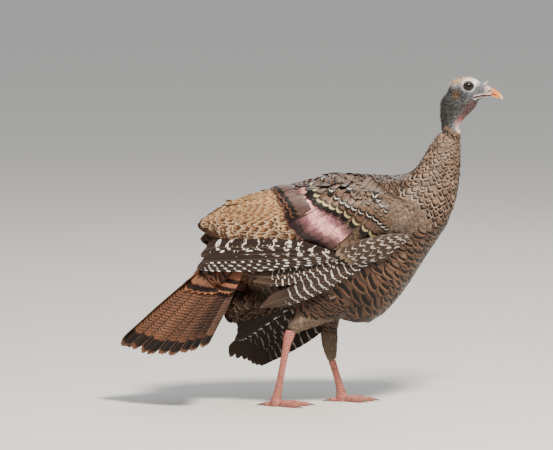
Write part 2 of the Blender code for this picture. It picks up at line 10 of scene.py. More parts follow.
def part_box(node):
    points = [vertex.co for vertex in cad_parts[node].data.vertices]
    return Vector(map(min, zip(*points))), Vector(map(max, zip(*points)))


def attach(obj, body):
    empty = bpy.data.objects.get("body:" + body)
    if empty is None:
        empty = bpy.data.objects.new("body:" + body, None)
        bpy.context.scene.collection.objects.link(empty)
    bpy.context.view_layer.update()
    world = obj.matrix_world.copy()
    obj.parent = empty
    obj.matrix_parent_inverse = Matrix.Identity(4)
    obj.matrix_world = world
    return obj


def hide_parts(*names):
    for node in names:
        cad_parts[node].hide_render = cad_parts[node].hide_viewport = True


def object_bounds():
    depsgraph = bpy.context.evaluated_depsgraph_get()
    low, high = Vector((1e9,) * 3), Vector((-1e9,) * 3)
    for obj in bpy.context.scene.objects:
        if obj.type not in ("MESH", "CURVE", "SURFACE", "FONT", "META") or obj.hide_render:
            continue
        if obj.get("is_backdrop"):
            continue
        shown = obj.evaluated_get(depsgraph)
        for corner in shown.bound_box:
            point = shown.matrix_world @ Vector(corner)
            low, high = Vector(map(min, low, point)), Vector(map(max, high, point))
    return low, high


# A hen wild turkey, life size, in mid stride. The skin is one mesh over the flesh nodes, and every
# feather is a thin closed vane. Metres, +X towards the bill, +Y the bird's left, the floor at z = 0.
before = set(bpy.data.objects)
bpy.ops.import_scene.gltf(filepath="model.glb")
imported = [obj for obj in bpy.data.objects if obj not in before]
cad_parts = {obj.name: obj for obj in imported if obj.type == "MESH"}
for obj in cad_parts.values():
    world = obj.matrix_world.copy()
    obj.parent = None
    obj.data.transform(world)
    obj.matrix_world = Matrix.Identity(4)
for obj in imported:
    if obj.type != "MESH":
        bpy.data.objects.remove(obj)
cadLow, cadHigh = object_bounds()
chance = np.random.default_rng(11)  # one seeded source, so that each run is the same
sides = {"right": -1, "left": 1}
toes = ("inner", "middle", "outer", "hind")


def spot(node, across, deep, high):
    # a place inside a node's box, as shares of its length, width and height
    low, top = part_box(node)
    return Vector([a + (b - a) * share for a, b, share in zip(low, top, (across, deep, high))])


def profile(node, across, high):
    # the same, seen from the side: only x and z
    return np.array(spot(node, across, 0.5, high))[[0, 2]]


def inProfile(node, shares):
    return np.array([profile(node, across, high) for across, high in shares])


def linear(hexCode):
    values = [int(hexCode[i:i + 2], 16) / 255 for i in (1, 3, 5)]
    return [v / 12.92 if v <= 0.04045 else ((v + 0.055) / 1.055) ** 2.4 for v in values]


plumage = {"deepening": 1.12}  # above 1, the feathers' colours grow darker and fuller


def featherColour(hexCode):
    return [value ** plumage["deepening"] for value in linear(hexCode)]


def put(tree, kind, links=(), **settings):
    # adds a node, sets it up, and links or fills its inputs, by name or in their order
    node = tree.nodes.new("ShaderNode" + kind)
    for name, value in settings.items():
        setattr(node, name, value)
    for socket, value in links.items() if isinstance(links, dict) else enumerate(links):
        value = value.outputs[0] if isinstance(value, bpy.types.Node) else value
        if isinstance(value, bpy.types.NodeSocket):
            tree.links.new(value, node.inputs[socket])
        else:
            node.inputs[socket].default_value = value
    return node


def startMaterial(name, values):
    # a new material, with these values on its shader's own sockets
    material = bpy.data.materials.new(name)
    material.use_nodes = True
    shader = material.node_tree.nodes["Principled BSDF"]
    for socket, value in values.items():
        shader.inputs[socket].default_value = value
    return material, material.node_tree, shader


def surfaced(tree, shader, colour, height, strength, deep):
    # gives the shader its colour and the small relief under it
    relief = put(tree, "Bump", {"Height": height, "Strength": strength, "Distance": deep})
    tree.links.new(colour, shader.inputs["Base Color"])
    tree.links.new(relief.outputs["Normal"], shader.inputs["Normal"])


def paintRamp(ramp, stops, reader=linear):
    # stops are (place, hex colour, how much it covers)
    while len(ramp.elements) < len(stops):
        ramp.elements.new(0.5)
    for element, (place, colour, cover) in zip(ramp.elements, stops):
        element.position = place
        element.color = (*reader(colour), cover)


def unit(rows):
    rows = np.asarray(rows, float)
    return rows / np.maximum(np.linalg.norm(rows, axis=-1, keepdims=True), 1e-12)


def smoothStep(values, low, high):
    share = np.clip((values - low) / (high - low), 0, 1)
    return share * share * (3 - 2 * share)


def curveThrough(points, count):
    # a smooth curve through a few points, as count places evenly spread over its spans
    points = np.asarray(points, float)
    padded = np.vstack([2 * points[0] - points[1], points, 2 * points[-1] - points[-2]])
    place = np.linspace(0, len(points) - 1 - 1e-9, count)
    span = place.astype(int)
    t = (place - span)[:, None]
    a, b, c, d = (padded[span + k] for k in range(4))
    return 0.5 * (2 * b + (c - a) * t + (2 * a - 5 * b + 4 * c - d) * t**2 + (3 * b - a - 3 * c + d) * t**3)


def readAll(items, field, width=1, kind=np.float32):
    # a number, or a row of them, from each point, edge, face or corner of a mesh
    values = np.empty(len(items) * width, kind)
    items.foreach_get(field, values)
    return values.reshape(-1, width) if width > 1 else values


def readPoints(mesh):
    vertices = mesh.vertices
    return readAll(vertices, "co", 3).astype(float), readAll(vertices, "normal", 3).astype(float)


def writePoints(mesh, points):
    mesh.vertices.foreach_set("co", points.astype(np.float32).reshape(-1))
    mesh.update()


def mark(mesh, name, values, kind="FLOAT", field="value"):
    # stores a number on each point for the materials to read
    data = mesh.attributes.new(name, kind, "POINT").data
    data.foreach_set(field, values.astype(np.float32).reshape(-1))


def paintTone(mesh, tone):
    mark(mesh, "tone", np.column_stack([tone, np.ones(len(tone))]), "FLOAT_COLOR", "color")


def placed(name, bm):
    mesh = bpy.data.meshes.new(name)
    bm.to_mesh(mesh)
    bm.free()
    made = bpy.data.objects.new(name, mesh)
    bpy.context.scene.collection.objects.link(made)
    return made


# stage, light and camera
studio = {
    "viewHeight": 6.0,  # degrees the camera looks down
    "distance": 12.0,
    "pictureWidth": 1.0784,  # metres across the picture where the bird stands
    "aimAlong": 0.414,  # shares of the bird's box that the picture is centred on
    "aimHigh": 0.549,
    "sensor": 36,
    "floorRadius": 30,
    "floorColour": "#dcdad6",
    "airColour": "#e9ecef",
    "airStrength": 0.62,
    "lamps": (  # name, place from the aim, width, power, colour
        ("keySoftbox", (0.9, -2.0, 3.0), 0.7, 300, "#fff4e6"),
        ("fillSoftbox", (-2.8, -1.6, 1.0), 2.4, 14, "#e8f0ff"),
        ("backSoftbox", (0.6, 2.6, 2.4), 1.6, 35, "#ffffff"),
    ),
}


def hung(thing, place, looking):
    # a lamp or camera at this place, turned the way it looks
    holder = bpy.data.objects.new(thing.name, thing)
    holder.location = place
    holder.rotation_euler = looking.to_track_quat("-Z", "Y").to_euler()
    bpy.context.scene.collection.objects.link(holder)
    return holder


def makeStage():
    bm = bmesh.new()
    bmesh.ops.create_circle(bm, cap_ends=True, segments=64, radius=studio["floorRadius"])
    floor = placed("floor", bm)
    # painted board: matt, so that it shows a soft shadow and no gloss
    colour = (*linear(studio["floorColour"]), 1)
    material, _, _ = startMaterial("matt pale studio floor", {"Base Color": colour, "Roughness": 0.9})
    floor.data.materials.append(material)
    floor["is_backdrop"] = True
    world = bpy.data.worlds.new("pale studio air")
    world.use_nodes = True
    air = world.node_tree.nodes["Background"].inputs
    air["Color"].default_value = (*linear(studio["airColour"]), 1)
    air["Strength"].default_value = studio["airStrength"]
    bpy.context.scene.world = world
    aimAlong = cadLow.x + (cadHigh.x - cadLow.x) * studio["aimAlong"]
    aim = Vector((aimAlong, 0, cadHigh.z * studio["aimHigh"]))
    for name, place, width, power, colour in studio["lamps"]:
        lamp = bpy.data.lights.new(name, "AREA")
        lamp.size = width
        lamp.energy = power
        lamp.color = linear(colour)
        hung(lamp, aim + Vector(place), -Vector(place))
    lens = bpy.data.cameras.new("camera")
    lens.sensor_width = studio["sensor"]
    lens.lens = studio["sensor"] * studio["distance"] / studio["pictureWidth"]
    down = math.radians(studio["viewHeight"])
    back = Vector((0, -math.cos(down), math.sin(down)))
    bpy.context.scene.camera = hung(lens, aim + back * studio["distance"], -back)


makeStage()
print("stage: floor, lights and camera")

# markings
# The colours of the plumage by place: node, shares of its box, colour. Skin and coat both read them.
plumageZones = (
    ("neck_feathered", 0.5, 0.5, 1.0, "#967b69"),
    ("neck_feathered", 0.9, 0.5, 0.5, "#86705e"),
    ("neck_feathered", 0.2, 0.5, 0.6, "#846b5a"),
    ("neck_feathered", 0.7, 0.5, 0.1, "#6f594b"),
    ("trunk", 0.93, 0.5, 0.55, "#563f33"),
    ("trunk", 0.85, 0.5, 0.2, "#4e392d"),
    ("trunk", 0.60, 0.5, 0.0, "#3f2f26"),
    ("trunk", 0.80, 0.5, 1.0, "#6f5c4f"),
    ("trunk", 0.50, 0.5, 0.95, "#634e40"),
    ("trunk", 0.20, 0.5, 0.80, "#6d4f3a"),
    ("trunk", 0.02, 0.5, 0.55, "#6b432c"),
    ("trunk", 0.30, 0.5, 0.10, "#392b23"),
    ("vent_feathers", 0.4, 0.5, 0.4, "#3f322a"),
    ("tail_coverts", 0.4, 0.5, 0.5, "#7d4a30"),
    ("shank_right", 0.2, 0.5, 0.1, "#8a7867"),
    ("shank_right", 0.7, 0.5, 0.9, "#4a3a30"),
    ("shank_left", 0.4, 0.5, 0.1, "#7a6858"),
    ("shank_left", 0.5, 0.5, 0.9, "#4f4238"),
    ("wing_right_coverts", 0.95, 0.3, 0.5, "#7a6a5d"),
    ("wing_left_coverts", 0.95, 0.7, 0.5, "#7a6a5d"),
    ("wing_right_coverts", 0.5, 0.2, 0.7, "#77624f"),
    ("wing_left_coverts", 0.5, 0.8, 0.7, "#77624f"),
)
zonePlaces = np.array([spot(*zone[:4]) for zone in plumageZones])
zoneColours = np.array([featherColour(zone[4]) for zone in plumageZones])


def plumageTone(points):
    far = ((points[:, None, :] - zonePlaces[None]) ** 2).sum(-1)
    weight = 1 / (far + 0.0004) ** 1.5  # the 0.0004 keeps a zone from standing out as a spot
    return (weight @ zoneColours) / weight.sum(1, keepdims=True)


# copies of the flesh nodes
fleshGrain = {  # size of the new faces and how far the copies swell to join, in mm, then rounds of smoothing
    "body": (4.0, 0.6, 10),
    "head": (0.88, 0.4, 22),
    "legs": (1.1, 0.3, 6),
    "bill": (0.42, 0.3, 8),
    "claws": (0.45, 0.2, 6),
}


def fleshCopy(nodes, swell=0.0):
    whole = bmesh.new()
    for name in nodes:
        part = bmesh.new()
        part.from_mesh(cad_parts[name].data)
        bmesh.ops.remove_doubles(part, verts=part.verts, dist=0.00002)
        part.normal_update()
        moves = [(vert, vert.normal * swell) for vert in part.verts]
        for vert, move in moves:
            vert.co += move
        spare = bpy.data.meshes.new(name + "Copy")
        part.to_mesh(spare)
        part.free()
        whole.from_mesh(spare)
        bpy.data.meshes.remove(spare)
    return whole


def applied(obj):
    # the object's mesh with its modifiers made real
    graph = bpy.context.evaluated_depsgraph_get()
    mesh = bpy.data.meshes.new_from_object(obj.evaluated_get(graph))
    obj.modifiers.clear()
    old, obj.data = obj.data, mesh
    bpy.data.meshes.remove(old)
    return obj


def fused(name, nodes, kind, rods=()):
    # one closed, smoothed surface round copies of these nodes and the rods of flesh that join them
    grain, swell, rounds = fleshGrain[kind]
    bm = fleshCopy(nodes, swell / 1000)
    for start, end, radius in rods:
        run = end - start
        turn = run.to_track_quat("Z", "Y").to_matrix().to_4x4()
        bmesh.ops.create_cone(
            bm, cap_ends=True, segments=24, radius1=radius, radius2=radius, depth=run.length,
            matrix=Matrix.Translation((start + end) / 2) @ turn,
        )
    made = placed(name, bm)
    remesh = made.modifiers.new("fuse", "REMESH")
    remesh.mode = "VOXEL"
    remesh.voxel_size = grain / 1000
    applied(made)
    bm = bmesh.new()
    bm.from_mesh(made.data)
    for _ in range(rounds):
        bmesh.ops.smooth_vert(bm, verts=bm.verts, factor=0.5, use_axis_x=True, use_axis_y=True, use_axis_z=True)
    bm.to_mesh(made.data)
    bm.free()
    return made


def spreadEvenly(mesh, values, rounds):
    # averages a number over the mesh's neighbours, so that it has no steps
    ends = readAll(mesh.edges, "vertices", 2, np.int32)
    count = np.bincount(ends.reshape(-1), minlength=len(values))
    for _ in range(rounds):
        total = np.bincount(ends[:, 0], values[ends[:, 1]], len(values))
        total += np.bincount(ends[:, 1], values[ends[:, 0]], len(values))
        values = 0.5 * values + 0.5 * total / np.maximum(count, 1)
    return values


def nodeTree(*names):
    bm = fleshCopy(names)
    tree = BVHTree.FromBMesh(bm)
    bm.free()
    return tree


coatDepth = {  # how far the skin lies under each node's surface
    "trunk": 0.006,
    "neck_feathered": 0.0045,
    "wing_right_coverts": 0.0045,
    "wing_left_coverts": 0.0045,
    "wing_right_tertials": 0.007,
    "wing_left_tertials": 0.007,
    "tail_coverts": 0.009,
    "vent_feathers": 0.012,
    "shank_right": 0.0032,
    "shank_left": 0.0032,
}
backLoft = {  # the back's feathers stand higher than the solids
    "along": (  # place along the bird in metres, lift in mm
        (-0.225, 3.0), (-0.167, 9.5), (-0.090, 13.5), (-0.015, 11.5), (0.067, 10.0), (0.150, 4.5), (0.200, 0.0),
    ),
    "heights": (0.335, 0.410),  # the lift grows between these heights
}


def surfaceOf(mesh):
    points, normals = readPoints(mesh)
    faces = np.array([face.vertices[:] for face in mesh.polygons])
    return {
        "points": points,
        "faces": faces,
        "centre": points[faces].mean(1),
        "normal": unit(normals[faces].mean(1)),
        "area": np.array([face.area for face in mesh.polygons]),
        "tree": BVHTree.FromPolygons(points.tolist(), faces.tolist()),
    }


def bodyFlesh():
    # the skin of the covered body, and the fuller shape that the feathers' tips reach
    made = fused("bodyFlesh", coatDepth, "body")
    points, normals = readPoints(made.data)
    names = list(coatDepth)
    trees = [nodeTree(name) for name in names]
    far = np.array([[tree.find_nearest(point)[3] for tree in trees] for point in points])
    owner = far.argmin(1)
    depths = spreadEvenly(made.data, np.array(list(coatDepth.values()))[owner], 8)
    places, lifts = np.array(backLoft["along"]).T
    loft = np.interp(points[:, 0], places, lifts / 1000) * smoothStep(points[:, 2], *backLoft["heights"])
    writePoints(made.data, points + loft[:, None] * (0, 0, 1))
    full = surfaceOf(made.data)
    full["owner"] = np.array(names)[owner[full["faces"][:, 0]]]
    full["depth"] = (depths + loft * np.clip(normals[:, 2], 0.2, 1))[full["faces"]].mean(1)
    writePoints(made.data, points - normals * depths[:, None])
    return made, full


# head and bare neck
face = {
    "lidWide": 0.0080,  # half the eye's opening, fore and aft
    "lidHigh": 0.0068,
    "socketDepth": 0.0030,
    "lidFolds": (0.27, 0.00022),  # how far apart in the lids' own size, and how high
    "wrinkle": 0.00034,
    "neckWrinkle": 0.0011,
    "caruncle": 0.0016,
    "bead": 0.0007,
    "caruncleSize": 0.0042,
    "neckRod": 0.0145,
}
faceBumps = (  # place in the head's box, reach along and up, height
    (0.47, 0.93, 0.011, 0.0035, 0.0011),  # brow
    (0.30, 0.60, 0.006, 0.008, 0.0008),  # temple
    (0.70, 0.50, 0.008, 0.006, -0.0010),  # lore
    (0.42, 0.30, 0.014, 0.004, 0.0008),  # cheek
)
eyeLow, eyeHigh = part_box("eye_right")
eyeCentre = (eyeLow + eyeHigh) / 2
eyeRadius = (eyeHigh.x - eyeLow.x) / 2
# from the corner of the gape to the bill, in the side view
mouthLine = inProfile("head", (
    (0.56, 0.215), (0.64, 0.245), (0.72, 0.27), (0.80, 0.285), (0.90, 0.285), (1.0, 0.29),
))
# the pale fold of skin from the gape back under the eye to the ear
jawFold = inProfile("head", ((0.62, 0.13), (0.50, 0.17), (0.38, 0.22), (0.29, 0.30), (0.25, 0.42)))
earPlace = profile("head", 0.165, 0.36)
nostril = {  # a slit under a hood: place, slope in degrees, then half sizes, depth and height in metres
    "place": profile("head", 0.945, 0.47), "slope": -32, "long": 0.0030, "wide": 0.0011, "deep": 0.0026,
    "hoodLong": 0.0036, "hoodWide": 0.0014, "hoodAbove": 0.0026, "hoodHigh": 0.0008,
}
faceLines = {  # ridges and grooves: distance from the line, width, sharpness, height
    "fold": ((0, 0.0016, 2, 0.0011), (0.0034, 0.0012, 2, -0.0006)),
    "mouth": ((0, 0.0008, 2, -0.0014), (0.0020, 0.0010, 2, 0.0004)),
    "ear": ((0, 0.0036, 4, -0.0014), (0.0060, 0.0013, 2, 0.0006)),
}
cereStart = spot("head", 0.79, 0.5, 0.5).x
snoodEnd = 0.352  # it lies on the bill up to here
neckFront = spot("neck_bare", 0.52, 0.5, 0.25)


def distanceToLine(flat, line):
    nearest = np.full(len(flat), 1.0)
    for start, end in zip(line, line[1:]):
        run = end - start
        share = np.clip(((flat - start) @ run) / (run @ run), 0, 1)
        nearest = np.minimum(nearest, np.linalg.norm(flat - start - share[:, None] * run, axis=1))
    return nearest


def noiseAt(points, size, stretch, octaves):
    scale = np.array(stretch) / size
    return np.array([noise.fractal(Vector(p * scale), 1.0, 2.0, octaves) for p in points])


def beadsAt(points, size):
    # 0 in the middle of each bead, more towards the creases between them
    return np.array([noise.voronoi(Vector(p / size))[0][0] for p in points])


def eyeRings(flat):
    # the way from the eye's centre and how far, measured in the size of its opening
    away = (flat - np.array((eyeCentre.x, eyeCentre.z))) / (face["lidWide"], face["lidHigh"])
    return away, np.linalg.norm(away, axis=1)


def ridge(far, at, wide, power=2):
    # 1 along the line that lies this far away, falling off on both sides of it
    return np.exp(-((far - at) / wide) ** power)


def headFlesh():
    rod = (spot("neck_feathered", 0.60, 0.5, 0.66), spot("neck_bare", 0.32, 0.5, 0.2), face["neckRod"])
    made = fused("headFlesh", ("head", "neck_bare", "snood"), "head", [rod])
    points, normals = readPoints(made.data)
    flat = points[:, ::2]
    outward = np.where(points[:, 1] < 0, -1.0, 1.0)
    sideways = smoothStep(np.abs(normals[:, 1]), 0.15, 0.6)
    move = np.zeros(len(points))
    # the socket round each eye, with folds in rings round the lids
    _, ring = eyeRings(flat)
    nearEye = np.abs(points[:, 1]) > 0.006
    socket = (1 - smoothStep(ring, 1.02, 1.75)) * nearEye
    foldStep, foldHeight = face["lidFolds"]
    folds = np.cos(ring * 2 * math.pi / foldStep)
    folds = folds * (1 - smoothStep(ring, 1.15, 1.9)) * smoothStep(ring, 0.95, 1.1)
    points[:, 1] -= outward * (socket * face["socketDepth"] - folds * foldHeight * nearEye)
    for across, high, wide, tall, lift in faceBumps:
        far = (((flat - profile("head", across, high)) / (wide, tall)) ** 2).sum(1)
        move += np.exp(-far) * lift * sideways
    # the fold under the eye, the mouth with its lip, and the ear with its rim
    front = smoothStep(points[:, 0], mouthLine[0][0] - 0.002, mouthLine[0][0] + 0.004)
    for name, far, mask in (
        ("fold", distanceToLine(flat, jawFold), sideways), ("mouth", distanceToLine(flat, mouthLine), front),
        ("ear", np.linalg.norm(flat - earPlace, axis=1), sideways),
    ):
        for at, wide, power, height in faceLines[name]:
            move += ridge(far, at, wide, power) * height * mask
    turn = math.radians(nostril["slope"])
    along = (flat - nostril["place"]) @ np.array((math.cos(turn), math.sin(turn)))
    across = (flat - nostril["place"]) @ np.array((-math.sin(turn), math.cos(turn)))
    slit = (along / nostril["long"]) ** 2 + (across / nostril["wide"]) ** 2
    move -= np.exp(-slit ** 2) * nostril["deep"] * sideways
    above = (across - nostril["hoodAbove"]) / nostril["hoodWide"]
    move += np.exp(-((along / nostril["hoodLong"]) ** 2 + above ** 2)) * nostril["hoodHigh"] * sideways
    # wrinkles: fine over the face, deeper and level round the neck, none on the cere
    onNeck = smoothStep(-points[:, 2], -spot("head", 0, 0, 0.25).z, -spot("head", 0, 0, 0.0).z + 0.006)
    onNeck *= 1 - smoothStep(points[:, 0], 0.318, 0.330)
    bare = 1 - smoothStep(points[:, 0], cereStart, cereStart + 0.008)
    fine = noiseAt(points, 0.0026, (0.7, 1, 1.3), 3)
    level = noiseAt(points, 0.0052, (0.35, 0.35, 1.5), 2)
    move += fine * face["wrinkle"] * (0.25 + 0.75 * bare) * smoothStep(ring, 1.0, 1.3)
    move += level * face["neckWrinkle"] * onNeck
    # warty caruncles down the front of the neck and beads round its sides
    bead = 1 - np.clip(beadsAt(points, face["caruncleSize"]), 0, 0.8) / 0.8
    ahead = smoothStep(normals[:, 0], 0.05, 0.65)
    ahead = ahead * smoothStep(-points[:, 2], -neckFront.z - 0.030, -neckFront.z - 0.012)
    move += bead * face["caruncle"] * ahead
    move += bead * face["bead"] * onNeck * (1 - ahead)
    writePoints(made.data, points + normals * move[:, None])
    return made


# legs and toes
legs = {
    "scuteStep": 0.0050,
    "scuteRise": 0.00055,
    "reticule": 0.0016,  # size of the small scales behind
    "reticuleRise": 0.00035,
    "rod": 0.0062,
    "rods": {  # shares of the tarsus's box, then of the shank's, between which flesh joins them
        "right": ((0.78, 0.5, 0.93), (0.20, 0.5, 0.25)),
        "left": ((0.16, 0.5, 0.93), (0.38, 0.5, 0.22)),
    },
    "hubs": {"right": (0.23, 0.5, 0.0), "left": (0.7, 0.5, 0.0)},  # where the toes spread from
    "shin": "#d98c80",
    "foot": "#c68474",
    # painted shade in the grooves and creases between the scales
    "grooveShade": "#6b302c",
    "blotch": "#a86a5e",
}


def scutes(points, normals):
    # broad plates down the front of the leg and the tops of the toes: 0 within a plate to 1 at its
    # edge, and how much each place faces that way
    rightHub, leftHub = (np.array(spot(f"tarsus_{side}", *legs["hubs"][side])) for side in sides)
    hub = np.where(points[:, 1:2] < 0, rightHub, leftHub)
    outAlong = np.linalg.norm(points[:, :2] - hub[:, :2], axis=1)
    onToe = 1 - smoothStep(points[:, 2], 0.012, 0.018)
    along = points[:, 2] * (1 - onToe) + outAlong * onToe
    # two columns of plates, half a step apart, with a seam down the middle
    across = np.where(onToe > 0.5, 1.0, normals[:, 1])
    saw = (along / legs["scuteStep"] + 0.5 * (across > 0)) % 1.0
    edge = np.maximum(np.clip(np.abs(saw - 0.5) * 2, 0, 1), 1 - smoothStep(np.abs(across), 0.0, 0.30))
    toeTop, legFront = smoothStep(normals[:, 2], 0.1, 0.5), smoothStep(normals[:, 0], -0.35, 0.15)
    return edge, np.where(onToe > 0.5, toeTop, legFront)


def legFlesh():
    names = [f"tarsus_{side}" for side in sides] + [f"toe_{side}_{toe}" for side in sides for toe in toes]
    rods = [
        (spot(f"tarsus_{side}", *start), spot(f"shank_{side}", *end), legs["rod"])
        for side, (start, end) in legs["rods"].items()
    ]
    made = fused("legFlesh", names, "legs", rods)
    points, normals = readPoints(made.data)
    edge, facing = scutes(points, normals)
    plates = (1 - edge) ** 0.35 * facing
    small = (0.6 - beadsAt(points, legs["reticule"])) * (1 - facing)
    move = plates * legs["scuteRise"] + small * legs["reticuleRise"]
    move = move * smoothStep(points[:, 2], 0.0004, 0.0025)  # the soles stay flat on the floor
    writePoints(made.data, points + normals * move[:, None])
    return made


def joinFlesh(main, others):
    for other in others:
        union = main.modifiers.new(other.name, "BOOLEAN")
        union.operation = "UNION"
        union.solver = "MANIFOLD"
        union.object = other
    applied(main)
    for other in others:
        bpy.data.objects.remove(other, do_unlink=True)
    return main


lids = {
    "around": 56,
    "thick": 10,  # corners round the rim's own section
    # width and height against the eye's opening, radius, how far they stand out
    "rims": ((0.985, 1.03, 0.00050, 0.0003), (1.22, 1.26, 0.00062, 0.0012)),
    "droop": 0.0003,
    "flat": 1.25,  # wider than thick
    "heavy": 1.25,  # the upper lid against the lower
}


def lidRing(bm, sign, wide, high, radius, proud):
    # a rolled rim of skin: a ring spun round the eye's axis, then fitted to the lids and the eyeball
    old = set(bm.verts)
    aside = Matrix.Translation((2, 0, 0)) @ Matrix.Rotation(math.radians(90), 4, "Z")
    made = bmesh.ops.create_circle(bm, segments=lids["thick"], radius=1, matrix=aside)["verts"]
    edges = [edge for edge in bm.edges if edge.verts[0] in made]
    bmesh.ops.spin(
        bm, geom=[*made, *edges], cent=(0, 0, 0), axis=(0, 1, 0), angle=2 * math.pi, steps=lids["around"],
        use_merge=True,
    )
    for vert in set(bm.verts) - old:
        turn = math.atan2(vert.co.z, vert.co.x)
        apart, aloft = math.hypot(vert.co.x, vert.co.z) - 2, vert.co.y
        x, z = wide * math.cos(turn), high * math.sin(turn) - lids["droop"] * max(0.0, math.sin(turn))
        out = math.sqrt(max((eyeRadius + proud) ** 2 - x * x - z * z, 1e-7))
        outward = Vector((x, sign * out, z)).normalized()
        middle = Vector((eyeCentre.x + x, sign * (abs(eyeCentre.y) + out), eyeCentre.z + z))
        flatOut = Vector((math.cos(turn) / wide, 0, math.sin(turn) / high)).normalized()
        away = (flatOut - outward * flatOut.dot(outward)).normalized()
        size = radius * (lids["heavy"] if 0.15 < turn / math.pi < 0.85 else 1.0)
        vert.co = middle + (away * apart * lids["flat"] + outward * aloft) * size


def addLids(mesh):
    bm = bmesh.new()
    for sign in sides.values():
        for wide, high, radius, proud in lids["rims"]:
            lidRing(bm, sign, face["lidWide"] * wide, face["lidHigh"] * high, radius, proud)
    bmesh.ops.recalc_face_normals(bm, faces=bm.faces)
    bm.from_mesh(mesh)
    bm.to_mesh(mesh)
    bm.free()


headPart, legPart = headFlesh(), legFlesh()
fullHead = surfaceOf(headPart.data)
bodyPart, fullBody = bodyFlesh()
skin = joinFlesh(bodyPart, [headPart, legPart])
skin.name = "skin"
addLids(skin.data)
print("skin:", len(skin.data.polygons), "faces")

faceTones = {  # bare skin: colour, place in the head's or neck's box, reach in metres, strength
    "crown": ("#fbe6dc", "head", 0.45, 0.97, 0.016, 0.95),
    "crownBack": ("#a08c74", "head", 0.14, 0.86, 0.009, 0.8),
    "brow": ("#ffffff", "head", 0.58, 0.84, 0.008, 0.9),
    "lore": ("#4c5258", "head", 0.68, 0.56, 0.008, 0.9),
    "cheek": ("#4d545c", "head", 0.45, 0.33, 0.009, 0.8),
    "jaw": ("#8a888b", "head", 0.62, 0.16, 0.005, 0.8),
    "temple": ("#484f56", "head", 0.24, 0.62, 0.008, 0.8),
    "ear": ("#b97d4c", "head", 0.165, 0.36, 0.0052, 1.0),
    "chin": ("#262425", "head", 0.56, -0.04, 0.010, 0.95),
    "chinBack": ("#2f3438", "head", 0.36, -0.05, 0.009, 0.95),
    "nape": ("#2b3136", "neck_bare", 0.16, 0.78, 0.017, 1.0),
    "napeLow": ("#30363c", "neck_bare", 0.14, 0.46, 0.015, 1.0),
    "gullet": ("#3c1915", "neck_bare", 0.70, 0.60, 0.013, 0.97),
    "gulletFront": ("#402523", "neck_bare", 0.84, 0.72, 0.011, 0.95),
    "gulletLow": ("#80231a", "neck_bare", 0.56, 0.40, 0.009, 0.95),
    "neckSide": ("#6f7b88", "neck_bare", 0.26, 0.18, 0.010, 0.9),
    "neckFront": ("#ffe2d8", "neck_bare", 0.52, 0.10, 0.009, 1.0),
    "neckFrontMid": ("#fbd3c8", "neck_bare", 0.47, 0.24, 0.0065, 1.0),
    "neckFrontHigh": ("#dfa79c", "neck_bare", 0.44, 0.34, 0.005, 0.9),
}
overFace = {  # the ground under those tones, and what lies over them
    "ground": "#4c5157", "cere": "#dcb5a8", "ring": "#e6e7ea", "lid": "#1d1715", "snood": "#bdb8b5",
    "lip": "#ecd0c8", "gape": "#4a1612", "nostril": "#1e0d0b",
}


def bareTone(points):
    tone = np.tile(linear(overFace["ground"]), (len(points), 1))
    flat = points[:, ::2]

    def over(colour, cover):
        return tone * (1 - cover[:, None]) + np.array(linear(colour)) * cover[:, None]

    for colour, node, across, high, reach, strength in faceTones.values():
        far = np.linalg.norm(flat - profile(node, across, high), axis=1) / reach
        tone = over(colour, strength * np.exp(-far ** 2 * 0.9))
    tone = over(overFace["cere"], smoothStep(points[:, 0], cereStart, cereStart + 0.010) * 0.85)
    away, ring = eyeRings(flat)
    forward = smoothStep(away[:, 0] + away[:, 1] * 0.6, -0.9, 0.9)
    tone = over(overFace["ring"], ridge(ring, 1.52, 0.11) * (0.15 + 0.6 * forward))
    tone = over(overFace["lid"], 1 - smoothStep(ring, 1.26, 1.40))
    snoodLow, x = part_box("snood")[0], points[:, 0]
    onSnood = (x > snoodLow.x - 0.001) & (x < snoodEnd) & (points[:, 2] > snoodLow.z + 0.0015)
    tone[onSnood] = linear(overFace["snood"])
    gape = smoothStep(points[:, 0], mouthLine[0][0] - 0.001, mouthLine[0][0] + 0.003)
    mouth = distanceToLine(flat, mouthLine)
    tone = over(overFace["lip"], ridge(mouth, 0.0030, 0.0012) * gape * 0.8)
    tone = over(overFace["gape"], ridge(mouth, 0, 0.0018, 4) * gape * 0.97)
    # painted shade: the nostril's opening darkened
    hole = np.linalg.norm((flat - nostril["place"]) / (0.0028, 0.0016), axis=1)
    return over(overFace["nostril"], np.exp(-hole ** 2))


def paintSkin():
    points, normals = readPoints(skin.data)
    points[:, 2] = np.maximum(points[:, 2], 0.0)
    writePoints(skin.data, points)
    tone = plumageTone(points)
    legNodes = nodeTree(*[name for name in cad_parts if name.startswith(("tarsus", "toe"))])
    onFace = points[:, 2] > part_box("neck_bare")[0].z - 0.012
    tone[onFace] = bareTone(points[onFace])
    onLeg = (points[:, 2] < 0.150) & np.array([legNodes.find_nearest(p)[3] < 0.0025 for p in points])
    down = smoothStep(points[onLeg][:, 2], 0.0, 0.13)[:, None]
    shin = np.array(linear(legs["shin"])) * down + np.array(linear(legs["foot"])) * (1 - down)
    edge, facing = scutes(points[onLeg], normals[onLeg])
    # painted shade: darker red in the grooves between the plates, most on the plated faces
    grooveShade = (smoothStep(edge, 0.45, 0.95) * (0.45 + 0.55 * facing) * 0.85)[:, None]
    # painted shade: the legs darker on their backs, turned from the light
    shade = 0.72 + 0.28 * smoothStep(normals[onLeg][:, 0], -0.8, 0.4)[:, None]
    tone[onLeg] = (shin * (1 - grooveShade) + np.array(linear(legs["grooveShade"])) * grooveShade) * shade
    paintTone(skin.data, tone)
    mark(skin.data, "scaly", onLeg)  # 1 on the legs and toes
    skin.data.shade_smooth()


skinLook = {  # sizes in mm, then how much of each pattern shows, and the colour of the shade painted into the creases
    "mottle": 2.2, "speck": 2.4, "pore": 0.9, "paler": 0.7, "creaseShade": 0.55, "blotch": 0.55,
    "creaseShadeColour": "#2b2a2d",
}


